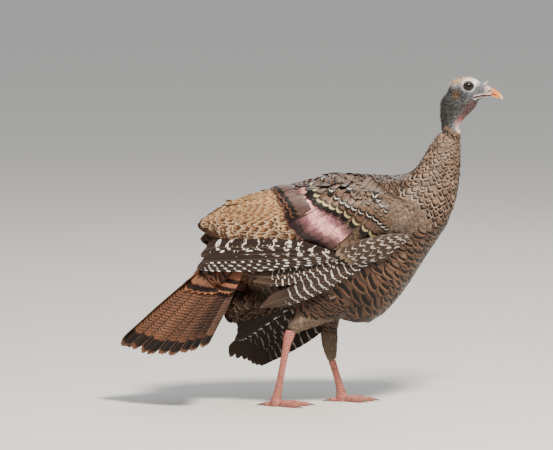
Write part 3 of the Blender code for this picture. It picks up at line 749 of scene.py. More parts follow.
def skinMaterial():
    # bare turkey skin: thin, damp-looking, mottled where blood and pigment show through
    material, tree, shader = startMaterial("wrinkled bare turkey skin", {
        "Roughness": 0.46, "IOR": 1.4, "Specular IOR Level": 0.35, "Subsurface Weight": 0.12,
        "Subsurface Radius": (0.004, 0.0015, 0.001),
    })
    tone = put(tree, "Attribute", attribute_name="tone")
    scaly = put(tree, "Attribute", attribute_name="scaly")
    place = put(tree, "TexCoord").outputs["Object"]
    sizes = {name: 1000 / skinLook[name] for name in ("mottle", "speck", "pore")}
    mottle = put(tree, "TexNoise", {"Vector": place, "Scale": sizes["mottle"], "Detail": 3, "Roughness": 0.65})
    specks = put(tree, "TexVoronoi", {"Vector": place, "Scale": sizes["speck"], "Randomness": 1.0})
    pores = put(tree, "TexNoise", {"Vector": place, "Scale": sizes["pore"], "Detail": 3})
    covers = [  # where the skin is paler, where shade is painted into its creases, and where it is blotched on the legs
        put(tree, "MapRange", (pattern, low, high, 0, most)) for pattern, low, high, most in (
            (mottle, 0.50, 0.60, skinLook["paler"]), (specks, 0.35, 0.8, skinLook["creaseShade"]),
            (mottle, 0.42, 0.62, skinLook["blotch"]),
        )
    ]
    lifted = put(tree, "Gamma", {"Color": tone, "Gamma": 0.46})
    codes = (skinLook["creaseShadeColour"], legs["blotch"], legs["grooveShade"])
    dark, blotch, grooveShade = ((*linear(code), 1) for code in codes)
    lighter = put(tree, "Mix", {0: covers[0], 6: tone, 7: lifted}, data_type="RGBA").outputs[2]
    # painted shade darkens the face's creases
    faceTone = put(tree, "Mix", {0: covers[1], 6: lighter, 7: dark}, data_type="RGBA").outputs[2]
    mottled = put(tree, "Mix", {0: covers[2], 6: tone, 7: blotch}, data_type="RGBA").outputs[2]
    # painted shade in the creases of the legs' skin
    legTone = put(tree, "Mix", {0: covers[1], 6: mottled, 7: grooveShade}, data_type="RGBA").outputs[2]
    both = put(tree, "Mix", {0: scaly.outputs["Fac"], 6: faceTone, 7: legTone}, data_type="RGBA")
    surfaced(tree, shader, both.outputs[2], pores, 0.5, 0.0005)
    return material


paintSkin()
skin.data.materials.clear()
skin.data.materials.append(skinMaterial())
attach(skin, "root")
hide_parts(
    "trunk", "neck_feathered", "neck_bare", "head", "snood", "wing_right_coverts", "wing_left_coverts",
    "shank_right", "shank_left", "tarsus_right", "tarsus_left",
    *[f"toe_{side}_{toe}" for side in sides for toe in ("inner", "middle", "outer", "hind")],
)

bakeRooms = {  # left, low, width and height on the map, with most room for the bare head and neck
    "body": (0.0, 0.68, 1.0, 0.32), "legs": (0.68, 0.0, 0.32, 0.66), "head": (0.0, 0.0, 0.66, 0.66),
}


def unwrapSkin():
    # OFBake: an unwrap of the skin's own shape, each region in its own room of the map
    mesh = skin.data
    mesh.uv_layers.new(name="OFBake")
    centres = readAll(mesh.polygons, "center", 3)
    firsts, totals = (readAll(mesh.polygons, field, kind=np.int32) for field in ("loop_start", "loop_total"))
    corners = readAll(mesh.loops, "vertex_index", kind=np.int32)
    region = np.zeros(len(mesh.polygons), int)
    region[readAll(mesh.attributes["scaly"].data, "value")[corners[firsts]] > 0.5] = 1
    region[centres[:, 2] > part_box("neck_bare")[0].z - 0.004] = 2
    bpy.context.view_layer.objects.active = skin
    for number in range(len(bakeRooms)):
        mesh.polygons.foreach_set("select", region == number)
        bpy.ops.object.mode_set(mode="EDIT")
        bpy.ops.uv.smart_project(angle_limit=math.radians(66), island_margin=0.004)
        bpy.ops.object.mode_set(mode="OBJECT")
    rooms = np.array(list(bakeRooms.values()))[np.repeat(region, totals)]
    layer = mesh.uv_layers["OFBake"].uv
    places = rooms[:, :2] + readAll(layer, "vector", 2) * rooms[:, 2:]
    layer.foreach_set("vector", places.astype(np.float32).reshape(-1))
    points, _ = readPoints(mesh)
    polygons = [corners[start:start + total].tolist() for start, total in zip(firsts, totals)]
    return BVHTree.FromPolygons(points.tolist(), polygons), places[firsts]


skinTree, skinPlaces = unwrapSkin()
print("skin: painted and unwrapped")


def bakePatches(roots, size=0.003):
    # the root's place on the skin's unwrap, and the patch's width and height
    rows = np.array([skinPlaces[skinTree.find_nearest(root)[2]] for root in roots.tolist()])
    return np.column_stack([rows, np.full((len(rows), 2), size)])


def bakeGrid(count, first=0, total=None):
    # equal strips of the map, for long feathers that each need room for their bars
    total = total or count
    columns = math.ceil(math.sqrt(total * 3))
    lines = math.ceil(total / columns)
    number = np.arange(first, first + count)
    left, low = number % columns / columns, number // columns / lines
    width, height = np.full(count, 0.8 / columns), np.full(count, 0.94 / lines)
    return np.column_stack([left + 0.1 / columns, low + 0.03 / lines, width, height])

# vanes
def vaneGrid(across, along):
    # a flat closed leaf: u from -1 to 1 across, v from 0 to 1 along, s tells its face from its back
    bm = bmesh.new()
    bmesh.ops.create_grid(bm, x_segments=across, y_segments=along, size=1)
    made = bmesh.ops.duplicate(bm, geom=bm.faces[:])["geom"]
    under = [part for part in made if isinstance(part, bmesh.types.BMFace)]
    bmesh.ops.reverse_faces(bm, faces=under)
    below = {vert for part in under for vert in part.verts}
    rim = [vert for vert in bm.verts if max(abs(vert.co.x), abs(vert.co.y)) > 0.999]
    for vert in bm.verts:
        vert.co.z = -1 if vert in below else 1
    for vert in rim:
        vert.co.z = 0
    bmesh.ops.remove_doubles(bm, verts=rim, dist=0.0001)
    bm.verts.index_update()
    points = np.array([vert.co[:] for vert in bm.verts])
    faces = np.array([[vert.index for vert in part.verts] for part in bm.faces])
    bm.free()
    return {"u": points[:, 0], "v": (points[:, 1] + 1) / 2, "s": points[:, 2], "faces": faces, "across": across}


smallVane, bodyVane, tertialVane, longVane = vaneGrid(4, 5), vaneGrid(6, 7), vaneGrid(8, 14), vaneGrid(10, 26)


def outlineOf(v, shape):
    wide = shape["waist"] + (1 - shape["waist"]) * np.sin(np.minimum(1, v / shape["belly"]) * math.pi / 2)
    return wide * (1 - shape["taper"] * smoothStep(v, shape["belly"], 1.0))


def raggedEnd(count, grid, shape):
    # how far each strip of barbs falls short of the feather's end
    column = np.rint((grid["u"] + 1) / 2 * grid["across"]).astype(int)
    return chance.uniform(0, 1, (count, grid["across"] + 1))[:, column] * shape["ragged"]


def settledVanes(flock, grid, shape, tree):
    # lays every feather of the flock along the surface, from its low root to its raised tip
    u, v, s = grid["u"], grid["v"], grid["s"]
    normal = flock["normal"]
    along = unit(flock["along"] - normal * (flock["along"] * normal).sum(1, keepdims=True))
    aside = np.cross(along, normal)
    half, length = flock["half"][:, None], flock["length"][:, None]
    ragged = raggedEnd(len(along), grid, shape)
    bend = chance.normal(0, 1, (len(along), 1)) * shape["bend"]
    far = length * (v - ragged * v**3) - half * shape["round"] * np.abs(u) ** shape["square"] * v**2
    wide = half * outlineOf(v, shape) * u + bend * half * v**2
    flat = flock["root"][:, None] + along[:, None] * far[..., None] + aside[:, None] * wide[..., None]
    found = [tree.find_nearest(point)[:2] for point in flat.reshape(-1, 3).tolist()]
    ground, facing = (np.array([hit[k][:] for hit in found]).reshape(flat.shape) for k in range(2))
    facing = unit(facing + normal[:, None] * 0.5)
    rise = flock["low"][:, None] + (flock["high"] - flock["low"])[:, None] * v ** shape["steep"]
    rise = rise - half * shape["cup"] * u**2 * v + flock["tilt"][:, None] * u * v
    rise = rise + s * shape["thick"] * (1 - 0.5 * v) + np.exp(-((u / 0.3) ** 2)) * shape["thick"] * (1 - v)
    rise = rise + length * shape["curl"] * v**4
    loose = shape["free"] * v[None, :, None] ** 2
    ground = ground * (1 - loose) + flat * loose
    return ground + facing * rise[..., None]


rippling = (9, 23)  # how closely a long vane's ripples follow each other, across and along


def laidVanes(paths, facing, narrow, wide, shape, flip=False):
    # long feathers on their own paths. The outer vane is narrow and the inner one wide
    u, v, s = longVane["u"], longVane["v"], longVane["s"]
    row = np.rint(v * (paths.shape[1] - 1)).astype(int)
    step = np.gradient(paths, axis=1)
    along = unit(step)
    aside = unit(np.cross(along, facing))
    minus, plus = (wide, narrow) if flip else (narrow, wide)
    full = np.where(u < 0, minus[:, None], plus[:, None])
    closing = ((v - shape["tipFrom"]) / (1 - shape["tipFrom"])).clip(0, 1) ** 2
    tip = np.sqrt(np.clip(1 - closing * (1 - shape["tipWidth"] ** 2), 0, 1))
    across = full * outlineOf(v, shape) * tip * u
    ragged = raggedEnd(len(paths), longVane, shape) * v**6
    length = np.linalg.norm(step, axis=2).sum(1)[:, None]
    back = np.abs(full) * shape["round"] * u**2 * v**8 + ragged * length
    shaft = np.exp(-((u / 0.16) ** 2)) * shape["shaft"] * (1 - 0.7 * v)
    rise = s * shape["thick"] + shaft - np.abs(across) * shape["cup"] * np.abs(u)
    ripple = np.sin(u * rippling[0] + v * rippling[1] + chance.uniform(0, 6, (len(paths), 1)))
    rise = rise + ripple * shape["wave"] * u**2
    across, back, rise = across[..., None], back[..., None], rise[..., None]
    return paths[:, row] + aside[:, row] * across - along[:, row] * back + facing[:, row] * rise


def feathersPiece(name, groups, material, replaced=()):
    # joins groups of vanes into one mesh with its two maps and what the material reads
    parts = {title: [] for title in ("corners", "faces", "vane", "OFBake", "tone", "rand", "long", "under")}
    start = 0
    for group in groups:
        grid, patch = group["grid"], group["bake"]
        count, size = group["points"].shape[:2]
        across = np.tile((grid["u"] + 1) / 2, (count, 1))
        place = np.stack([1 - across if group.get("flip") else across, np.tile(grid["v"], (count, 1))], -1)
        parts["corners"].append(group["points"].reshape(-1, 3))
        parts["faces"].append((grid["faces"] + (start + np.arange(count) * size)[:, None, None]).reshape(-1, 4))
        parts["vane"].append(place.reshape(-1, 2))
        parts["OFBake"].append((patch[:, None, :2] + place * patch[:, None, 2:]).reshape(-1, 2))
        parts["tone"].append(np.repeat(group["tone"], size, axis=0))
        parts["rand"].append(np.repeat(group["rand"], size))
        parts["long"].append(np.repeat(group["length"], size))
        parts["under"].append(np.tile(0.5 - 0.5 * grid["s"], count))
        start += count * size
    parts = {title: np.concatenate(values) for title, values in parts.items()}
    faces = parts["faces"].astype(np.int32)
    mesh = bpy.data.meshes.new(name)
    mesh.vertices.add(start)
    mesh.vertices.foreach_set("co", parts["corners"].astype(np.float32).reshape(-1))
    mesh.loops.add(faces.size)
    mesh.loops.foreach_set("vertex_index", faces.reshape(-1))
    mesh.polygons.add(len(faces))
    mesh.polygons.foreach_set("loop_start", np.arange(0, faces.size, 4, dtype=np.int32))
    mesh.update(calc_edges=True)
    for title in ("OFBake", "vane"):
        layer = mesh.uv_layers.new(name=title)
        layer.uv.foreach_set("vector", parts[title][faces.reshape(-1)].astype(np.float32).reshape(-1))
    paintTone(mesh, parts["tone"])
    for title in ("rand", "long", "under"):
        mark(mesh, title, parts[title])
    mesh.shade_smooth()
    onRim = parts["under"] == 0.5
    sharp = onRim[readAll(mesh.edges, "vertices", 2, np.int32)].all(1)
    mesh.attributes.new("sharp_edge", "BOOLEAN", "EDGE").data.foreach_set("value", sharp)
    mesh.materials.append(material)
    mesh.validate()
    made = bpy.data.objects.new(name, mesh)
    bpy.context.scene.collection.objects.link(made)
    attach(made, "root")
    if replaced:
        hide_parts(*replaced)
    print(name + ":", len(faces) * 2, "triangles")


featherLook = {  # for every feather whose own entry below doesn't say otherwise
    "rough": 0.55,
    "gloss": 0.22,
    "metal": 0.0,
    "relief": 0.5,
    "barb": 2.2,  # size of the barbs' streaks in mm, how much they lean and how often they break across
    "lean": 0.5,
    "across": 1.3,
    "blot": 7.0,  # size in mm of the unevenness of bands and bars
    "wrap": 0.22,  # how far the bands run back along the edges
    "wobble": 0.1,
    "fray": 0.05,
    "vary": 0.4,  # light from feather to feather, and from barb to barb
    "streak": 0.7,
    "shaft": None,
    "shaftShows": 0.6,
    "outerOnly": False,  # edge colours on the outer vane only, and broken up by the bars
    "dashed": False,
}
barLook = {"slant": 0.0, "wander": 1.0, "shift": 1.0}
# A feather's entry adds its "ramp", colours from root to tip. It may add "sides", colours from the shaft to
# the edges, and "bars": their step in mm, slant, wander, shift from feather to feather, where they end, the
# part of the inner vane they fade over, and a ramp over one step. Colours are (place, hex, cover).


def featherMaterial(entry):
    # keratin barbs beside a shaft: matt from afar, streaked close to, with a faint gloss along the barbs
    spec = {**featherLook, **entry}
    material, tree, shader = startMaterial(spec["name"], {
        "Roughness": spec["rough"], "Specular IOR Level": spec["gloss"], "Metallic": spec["metal"],
    })
    split = put(tree, "SeparateXYZ", (put(tree, "UVMap", uv_map="vane"),))
    tone = put(tree, "Attribute", attribute_name="tone")
    rand, long, under = (
        put(tree, "Attribute", attribute_name=name).outputs["Fac"] for name in ("rand", "long", "under")
    )
    signed = put(tree, "Math", (split, 2.0, -1.0), operation="MULTIPLY_ADD")
    aside = put(tree, "Math", (signed,), operation="ABSOLUTE")
    along = split.outputs["Y"]
    run = put(tree, "Math", (along, long), operation="MULTIPLY")  # metres from the root
    drift = put(tree, "Math", (rand, 60.0), operation="MULTIPLY")  # so that no two feathers share a pattern
    barbRun = put(tree, "Math", (run, 1000 / spec["barb"]), operation="MULTIPLY")
    leaning = put(tree, "Math", (aside, -spec["lean"], barbRun), operation="MULTIPLY_ADD")
    barbSide = put(tree, "Math", (signed, spec["across"]), operation="MULTIPLY")
    barbPlace = put(tree, "CombineXYZ", (barbSide, leaning, drift))
    barbs = put(tree, "TexNoise", {"Vector": barbPlace, "Scale": 1.0, "Detail": 3, "Roughness": 0.65})
    blotRun = put(tree, "Math", (run, 1000 / spec["blot"]), operation="MULTIPLY")
    blotSide = put(tree, "Math", (signed, 1.6), operation="MULTIPLY")
    blotPlace = put(tree, "CombineXYZ", (blotSide, blotRun, drift))
    blots = put(tree, "TexNoise", {"Vector": blotPlace, "Scale": 1.0, "Detail": 2})

    def painted(colour, place, stops, *limits):
        # lays a ramp's colours over what is there, as far as its limits let it
        ramp = put(tree, "ValToRGB", (place,))
        paintRamp(ramp.color_ramp, stops, featherColour)
        cover = ramp.outputs["Alpha"]
        for limit in limits:
            cover = put(tree, "Math", (cover, limit), operation="MULTIPLY")
        return put(tree, "Mix", {0: cover, 6: colour, 7: ramp}, data_type="RGBA").outputs[2], cover

    colour, barCover = tone, None
    if "bars" in spec:
        bars = {**barLook, **spec["bars"]}
        phase = put(tree, "Math", (run, 1000 / bars["step"]), operation="MULTIPLY")
        phase = put(tree, "Math", (aside, bars["slant"], phase), operation="MULTIPLY_ADD")
        for source, amount in ((blots, bars["wander"]), (rand, bars["shift"])):
            moved = put(tree, "Math", (source, amount), operation="MULTIPLY")
            phase = put(tree, "Math", (phase, moved), operation="ADD")
        phase = put(tree, "Math", (phase,), operation="FRACT")
        limits = [put(tree, "MapRange", (along, bars["until"] - 0.06, bars["until"], 1.0, 0.0))]
        if "inner" in bars:
            limits.insert(0, put(tree, "MapRange", (signed, *bars["inner"][:2], 1.0, bars["inner"][2])))
        colour, barCover = painted(colour, phase, bars["ramp"], *limits)
    edge = put(tree, "Math", (aside, aside), operation="MULTIPLY")
    edge = put(tree, "Math", (edge, spec["wrap"], along), operation="MULTIPLY_ADD")
    for pattern, amount in ((blots, spec["wobble"]), (barbs, spec["fray"])):
        moved = put(tree, "Math", (pattern, amount, -0.5 * amount), operation="MULTIPLY_ADD")
        edge = put(tree, "Math", (edge, moved), operation="ADD")
    colour, _ = painted(colour, edge, spec["ramp"])
    if "sides" in spec:
        outer = put(tree, "Math", (signed, -1.0), operation="MULTIPLY") if spec["outerOnly"] else aside
        moved = put(tree, "Math", (blots, 0.16, -0.08), operation="MULTIPLY_ADD")
        outer = put(tree, "Math", (outer, moved), operation="ADD")
        colour, _ = painted(colour, outer, spec["sides"], *([barCover] if spec["dashed"] else []))
    if spec["shaft"]:
        line = put(tree, "MapRange", (aside, 0.03, 0.075, spec["shaftShows"], 0.0))
        shaft = (*featherColour(spec["shaft"]), 1)
        colour = put(tree, "Mix", {0: line, 6: colour, 7: shaft}, data_type="RGBA").outputs[2]
    shades = [  # each feather's own lightness, its barbs' streaks and its duller back
        put(tree, "Math", (source, amount, rest), operation="MULTIPLY_ADD") for source, amount, rest in (
            (rand, spec["vary"], 1 - spec["vary"] / 2), (barbs, spec["streak"], 1 - spec["streak"] / 2),
            (under, -0.5, 1.0),
        )
    ]
    light = put(tree, "Math", shades[:2], operation="MULTIPLY")
    light = put(tree, "Math", (light, shades[2]), operation="MULTIPLY")
    shade = put(tree, "CombineXYZ", (light, light, light))
    final = put(tree, "Mix", {0: 1.0, 6: colour, 7: shade}, data_type="RGBA", blend_type="MULTIPLY")
    surfaced(tree, shader, final.outputs[2], barbs, spec["relief"], 0.0006)
    return material


# body feathers
lieGuides = (  # node, shares of its box (width share counts from the middle), direction, gap in mm, kind
    ("neck_feathered", 0.80, 0.3, 0.98, (-0.25, 0, -0.97), 5.6, "neck"),
    ("neck_feathered", 0.65, 0.5, 0.60, (-0.30, 0, -0.95), 7.2, "neck"),
    ("neck_feathered", 0.60, 0.7, 0.25, (-0.35, 0, -0.93), 9.0, "neck"),
    ("neck_feathered", 0.10, 0.5, 0.35, (-0.60, 0, -0.80), 9.5, "neck"),
    ("trunk", 0.98, 0.2, 0.60, (-0.25, 0, -0.97), 11.0, "breast"),
    ("trunk", 0.90, 0.7, 0.50, (-0.45, 0, -0.89), 12.0, "breast"),
    ("trunk", 0.85, 0.5, 0.20, (-0.75, 0, -0.65), 13.5, "breast"),
    ("trunk", 0.60, 0.5, 0.02, (-0.93, 0, -0.35), 15.0, "belly"),
    ("trunk", 0.62, 0.9, 0.25, (-0.80, 0, -0.60), 15.0, "belly"),
    ("trunk", 0.35, 0.6, 0.10, (-0.97, 0, -0.10), 14.0, "belly"),
    ("trunk", 0.78, 0.3, 0.97, (-0.97, 0, -0.20), 10.5, "back"),
    ("trunk", 0.50, 0.3, 1.00, (-1.0, 0, 0.0), 12.5, "back"),
    ("trunk", 0.20, 0.3, 0.90, (-0.93, 0, -0.36), 14.0, "back"),
    ("trunk", 0.02, 0.4, 0.60, (-0.80, 0, -0.60), 14.0, "rump"),
    ("tail_coverts", 0.5, 0.5, 0.6, (-0.76, 0, -0.64), 14.0, "rump"),
    ("vent_feathers", 0.5, 0.5, 0.3, (-0.90, 0, -0.43), 12.0, "down"),
    ("shank_right", 0.6, 0.5, 0.7, (-0.45, 0, -0.89), 8.5, "shank"),
    ("shank_right", 0.15, 0.5, 0.15, (-0.60, 0, -0.80), 5.0, "shank"),
    ("shank_left", 0.5, 0.5, 0.7, (-0.10, 0, -0.99), 8.5, "shank"),
    ("shank_left", 0.4, 0.5, 0.10, (0.0, 0, -1.0), 5.0, "shank"),
    ("wing_right_coverts", 0.97, 0.3, 0.6, (-0.60, 0, -0.80), 7.5, "shoulder"),
    ("wing_right_coverts", 0.80, 0.9, 0.5, (-0.70, 0, -0.70), 8.0, "shoulder"),
    ("wing_right_coverts", 0.40, 0.7, 0.9, (-0.90, 0, -0.40), 11.0, "shoulder"),
    ("wing_right_coverts", 0.20, 0.9, 0.3, (-0.85, 0, -0.50), 12.0, "shoulder"),
    ("wing_right_tertials", 0.40, 0.7, 0.8, (-0.97, 0, -0.20), 12.0, "scapular"),
)
kindOfOwner = {
    "vent_feathers": "down", "shank_right": "shank", "shank_left": "shank",
    "wing_right_coverts": "shoulder", "wing_left_coverts": "shoulder",
    "wing_right_tertials": "scapular", "wing_left_tertials": "scapular", "tail_coverts": "rump",
}


def guidePlace(node, across, side, high):
    # the same on both sides, so its place across counts from the middle outwards
    low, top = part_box(node)
    if low.y < 0 < top.y:
        near, far = 0.0, top.y
    else:
        near, far = sorted((abs(low.y), abs(top.y)))
    return (low.x + (top.x - low.x) * across, near + (far - near) * side, low.z + (top.z - low.z) * high)


guideSpots = np.array([guidePlace(*guide[:4]) for guide in lieGuides])
guideWays = unit([guide[4] for guide in lieGuides])
guideGaps = np.array([guide[5] for guide in lieGuides]) / 1000
guideKinds = np.array([guide[6] for guide in lieGuides])


def readLie(points):
    # the way the coat lies at these places, the gap between its feathers, and their kind
    folded = points * (1, 0, 1) + np.abs(points) * (0, 1, 0)
    far = ((folded[:, None] - guideSpots[None]) ** 2).sum(-1)
    weight = 1 / (far + 0.0003) ** 2
    share = weight / weight.sum(1, keepdims=True)
    return unit(share @ guideWays), share @ guideGaps, guideKinds[far.argmin(1)]


def scattered(area, points, faces, gaps, tries):
    # spreads places over faces so that no two stand nearer than the gap
    weight = area / gaps**2
    picks = chance.choice(len(faces), tries, p=weight / weight.sum())
    mix = chance.dirichlet((1, 1, 1, 1), tries)
    spots = (points[faces[picks]] * mix[..., None]).sum(1)
    cell = gaps.max()
    steps = (-1, 0, 1)
    around = [(dx, dy, dz) for dx in steps for dy in steps for dz in steps]
    kept, seen = [], {}
    for number, (place, room) in enumerate(zip(spots.tolist(), gaps[picks] ** 2)):
        key = tuple(int(value // cell) for value in place)
        near = (other for step in around for other in seen.get(tuple(a + b for a, b in zip(key, step)), ()))
        if all(sum((a - b) ** 2 for a, b in zip(place, other)) >= room for other in near):
            seen.setdefault(key, []).append(place)
            kept.append(number)
    return spots[kept], picks[kept]


coatShape = {  # outline and section of the body's feathers
    "waist": 0.45, "belly": 0.6, "taper": 0.10, "round": 0.75, "ragged": 0.05, "bend": 0.08, "cup": 0.08,
    "thick": 0.00022, "steep": 0.70, "curl": 0.0, "square": 2.0, "free": 0.0,
}
squareShape = {
    **coatShape, "waist": 0.5, "belly": 0.7, "taper": 0.0, "round": 0.72, "square": 3.6, "ragged": 0.07,
}
looseShape = {**coatShape, "ragged": 0.16, "bend": 0.25, "cup": 0.0, "curl": 0.05}
coat = {
    "tries": 60000,
    "closeness": 0.86,
    "length": 2.5,  # length and half width against the gap between feathers
    "half": 0.80,
    "vary": 0.16,
    "swing": 0.18,
    "rootDepth": 0.9,  # how deep a root stands, as a share of the coat
    "rootBack": 0.35,  # how far a feather starts before its place, as a share of its length
    "farWingShade": 0.65,  # the left wing's inner feathers lie in the dark under the back
    "ruffle": {"neck": 0.0011, "rest": 0.0004},  # how unevenly they lie
    "wider": {"breast": 1.45, "belly": 1.55, "back": 1.25, "rump": 1.3},
    "sparser": {"breast": 1.22, "belly": 1.38, "neck": 1.18},
    "onShank": 0.72,  # the thigh's feathers against those of the body beside it
    "thighFrom": 0.42,  # share of the shank's height above which it wears flank feathers
    "liningDepth": {"coverts": -0.0034, "tertials": -0.0058},  # under the rows laid over them
}


def bodyFlock():
    shanks = [f"shank_{side}" for side in sides]

    def spaced(gaps, kinds, owner):
        gaps = gaps * np.array([coat["sparser"].get(kind, 1.0) for kind in kinds])
        return np.where(np.isin(owner, shanks), gaps * coat["onShank"], gaps)

    _, gaps, kinds = readLie(fullBody["centre"])
    gaps = spaced(gaps, kinds, fullBody["owner"])
    surface = [fullBody[name] for name in ("area", "points", "faces")]
    roots, picks = scattered(*surface, gaps * coat["closeness"], coat["tries"])
    ways, gaps, kinds = readLie(roots)
    owner, normal, depth = (fullBody[name][picks] for name in ("owner", "normal", "depth"))
    kinds = np.array([kindOfOwner.get(own, kind) for own, kind in zip(owner, kinds)])
    for shank in shanks:
        low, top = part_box(shank)
        kinds[(owner == shank) & (roots[:, 2] > low.z + coat["thighFrom"] * (top.z - low.z))] = "belly"
    inner = np.isin(owner, [f"wing_{side}_tertials" for side in sides]) & (roots[:, 0] < -0.10)
    kinds[inner & (normal[:, 2] < 0.3)] = "down"
    onFront = (kinds == "breast") & (owner == "neck_feathered")
    kinds[onFront & (roots[:, 2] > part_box("neck_feathered")[0].z + 0.05)] = "neck"
    gaps = spaced(gaps, kinds, owner)
    count = len(roots)
    ruffle = np.array([coat["ruffle"].get(kind, coat["ruffle"]["rest"]) for kind in kinds])
    wider = np.array([coat["wider"].get(kind, 1.0) for kind in kinds])
    size = 1 + chance.uniform(-1, 1, count) * coat["vary"]
    flock = {
        "root": roots,
        "along": unit(ways + chance.normal(0, coat["swing"] / 2, (count, 3))),
        "normal": normal,
        "length": gaps * coat["length"] * size,
        "half": gaps * coat["half"] * size * wider,
        "low": -depth * coat["rootDepth"],
        "high": -0.0004 + chance.uniform(-1, 1, count) * ruffle,
        "tilt": chance.uniform(-0.0002, 0.0002, count) + 0.0002,
        "tone": plumageTone(roots) * (1 + chance.uniform(-0.12, 0.12, (count, 1))),
        "rand": chance.uniform(0, 1, count),
        "kind": kinds,
    }
    # feathers that only line the wing stay under the rows laid over them
    for side in sides:
        low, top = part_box(f"wing_{side}_coverts")
        forward = smoothStep(roots[:, 0], low.x + 0.60 * (top.x - low.x), low.x + 0.74 * (top.x - low.x))
        sunk = flock["high"] * forward + coat["liningDepth"]["coverts"] * (1 - forward)
        flock["high"] = np.where(owner == f"wing_{side}_coverts", sunk, flock["high"])
        onTertials = owner == f"wing_{side}_tertials"
        flock["high"] = np.where(onTertials, coat["liningDepth"]["tertials"], flock["high"])
    behind = (owner == "wing_left_tertials") * smoothStep(-roots[:, 0], 0.12, 0.18)
    flock["tone"] = flock["tone"] * (1 - coat["farWingShade"] * behind[:, None])
    flock["root"] = roots - unit(flock["along"]) * (flock["length"] * coat["rootBack"])[:, None]
    return flock


def chosen(flock, mask):
    return {name: values[mask] for name, values in flock.items()}


def coatGroup(flock, grid, shape, tree):
    points = settledVanes(flock, grid, shape, tree)
    look = {name: flock[name] for name in ("tone", "rand", "length")}
    return {"points": points, "grid": grid, "bake": bakePatches(flock["root"]), **look}


coatSpecs = {  # markings by kind, along each feather from its root at 0 to its tip at 1
    "neck": {  # drab, with dark scaly rims
        "name": "drab scaly neck feathers", "slot": "neck_feathers", "wobble": 0.16, "vary": 0.8,
        "ramp": ((0.0, "#4a3c33", 0.5), (0.54, "#957c6a", 0.3), (0.67, "#1d1612", 0.3), (0.75, "#120d0a", 0.97),
                 (0.905, "#120d0a", 0.97), (0.94, "#c4aa94", 0.85), (1.0, "#ab937f", 0.8)),
    },
    "breast": {  # a black bar and a dull rust rim
        "name": "scaled breast feathers", "slot": "body_feathers", "rough": 0.42, "wrap": 0.03, "fray": 0.07,
        "vary": 0.7, "streak": 0.9,
        "ramp": ((0.0, "#3a2c23", 0.6), (0.5, "#64493a", 0.2), (0.66, "#6b4f3e", 0.6), (0.7, "#110e0c", 0.97),
                 (0.84, "#110e0c", 0.97), (0.865, "#8a654c", 0.85), (0.9, "#7c5c46", 0.8),
                 (0.94, "#5b4638", 0.8), (1.0, "#4d3b30", 0.8)),
    },
    "belly": {  # rust across the feather, a broad black bar, a thin rust rim
        "name": "barred flank feathers", "slot": "body_feathers", "rough": 0.42, "wrap": 0.02, "wobble": 0.09,
        "fray": 0.07, "vary": 0.7, "streak": 0.9,
        "ramp": ((0.0, "#2c211b", 0.7), (0.45, "#43322a", 0.6), (0.58, "#5c4031", 0.8), (0.67, "#543a2c", 0.8),
                 (0.7, "#0e0b0a", 0.97), (0.86, "#0e0b0a", 0.97), (0.885, "#7e583f", 0.9),
                 (0.91, "#6f5240", 0.85), (0.94, "#4a392e", 0.85), (1.0, "#4a392e", 0.85)),
    },
    "back": {  # smooth and brown, with a black end and a rust rim
        "name": "dark rimmed back feathers", "slot": "body_feathers", "rough": 0.36, "wrap": 0.14, "vary": 0.55,
        "streak": 0.9,
        "ramp": ((0.0, "#3b2f28", 0.6), (0.6, "#6a5342", 0.3), (0.72, "#1f1a17", 0.5), (0.77, "#110e0c", 0.95),
                 (0.92, "#110e0c", 0.93), (0.945, "#8a664c", 0.75), (1.0, "#6b5340", 0.7)),
    },
    "rump": {  # rust and black above the tail
        "name": "black and rust rump feathers", "slot": "tail_feathers", "rough": 0.4, "wrap": 0.1,
        "wobble": 0.08, "streak": 0.9,
        "ramp": ((0.0, "#4a3226", 0.6), (0.6, "#744c38", 0.5), (0.76, "#0f0c0a", 0.95), (0.88, "#0f0c0a", 0.95),
                 (0.92, "#7a5038", 0.9), (1.0, "#6b4a38", 0.9)),
    },
    "shoulder": {  # plain, with a thin dark line inside the rim
        "name": "smooth shoulder feathers", "slot": "wing_coverts", "rough": 0.5, "wobble": 0.12,
        "ramp": ((0.0, "#63554a", 0.5), (0.6, "#957f6e", 0.4), (0.84, "#40352e", 0.5), (0.94, "#40352e", 0.6),
                 (1.0, "#a8927f", 0.6)),
    },
    "scapular": {  # browner than the shoulder
        "name": "brown scapular feathers", "slot": "wing_coverts", "rough": 0.45, "wobble": 0.12,
        "ramp": ((0.0, "#54402f", 0.5), (0.6, "#8a6a50", 0.5), (0.84, "#2a211b", 0.7), (0.94, "#2a211b", 0.7),
                 (1.0, "#a88465", 0.6)),
    },
    "down": {  # loose and nearly black
        "name": "loose dark vent feathers", "slot": "down_feathers", "rough": 0.7, "wobble": 0.2, "vary": 0.5,
        "ramp": ((0.0, "#241b16", 0.7), (0.6, "#33271f", 0.5), (0.86, "#120e0c", 0.7), (0.95, "#6b5340", 0.7),
                 (1.0, "#6b5340", 0.6)),
    },
    "shank": {  # short and plain
        "name": "short shank feathers", "slot": "down_feathers", "rough": 0.65, "wobble": 0.2,
        "ramp": ((0.0, "#4d4137", 0.5), (0.6, "#7a6a58", 0.1), (0.88, "#463a31", 0.6), (1.0, "#9c8a77", 0.5)),
    },
}
coatMaterials = {kind: featherMaterial(spec) for kind, spec in coatSpecs.items()}
bodyCoat = bodyFlock()
for kind, spec in coatSpecs.items():
    shape = looseShape if kind in ("down", "shank") else squareShape if kind in coat["wider"] else coatShape
    group = coatGroup(chosen(bodyCoat, bodyCoat["kind"] == kind), bodyVane, shape, fullBody["tree"])
    feathersPiece(kind + "Coat", [group], coatMaterials[kind])
print("body feathers done")

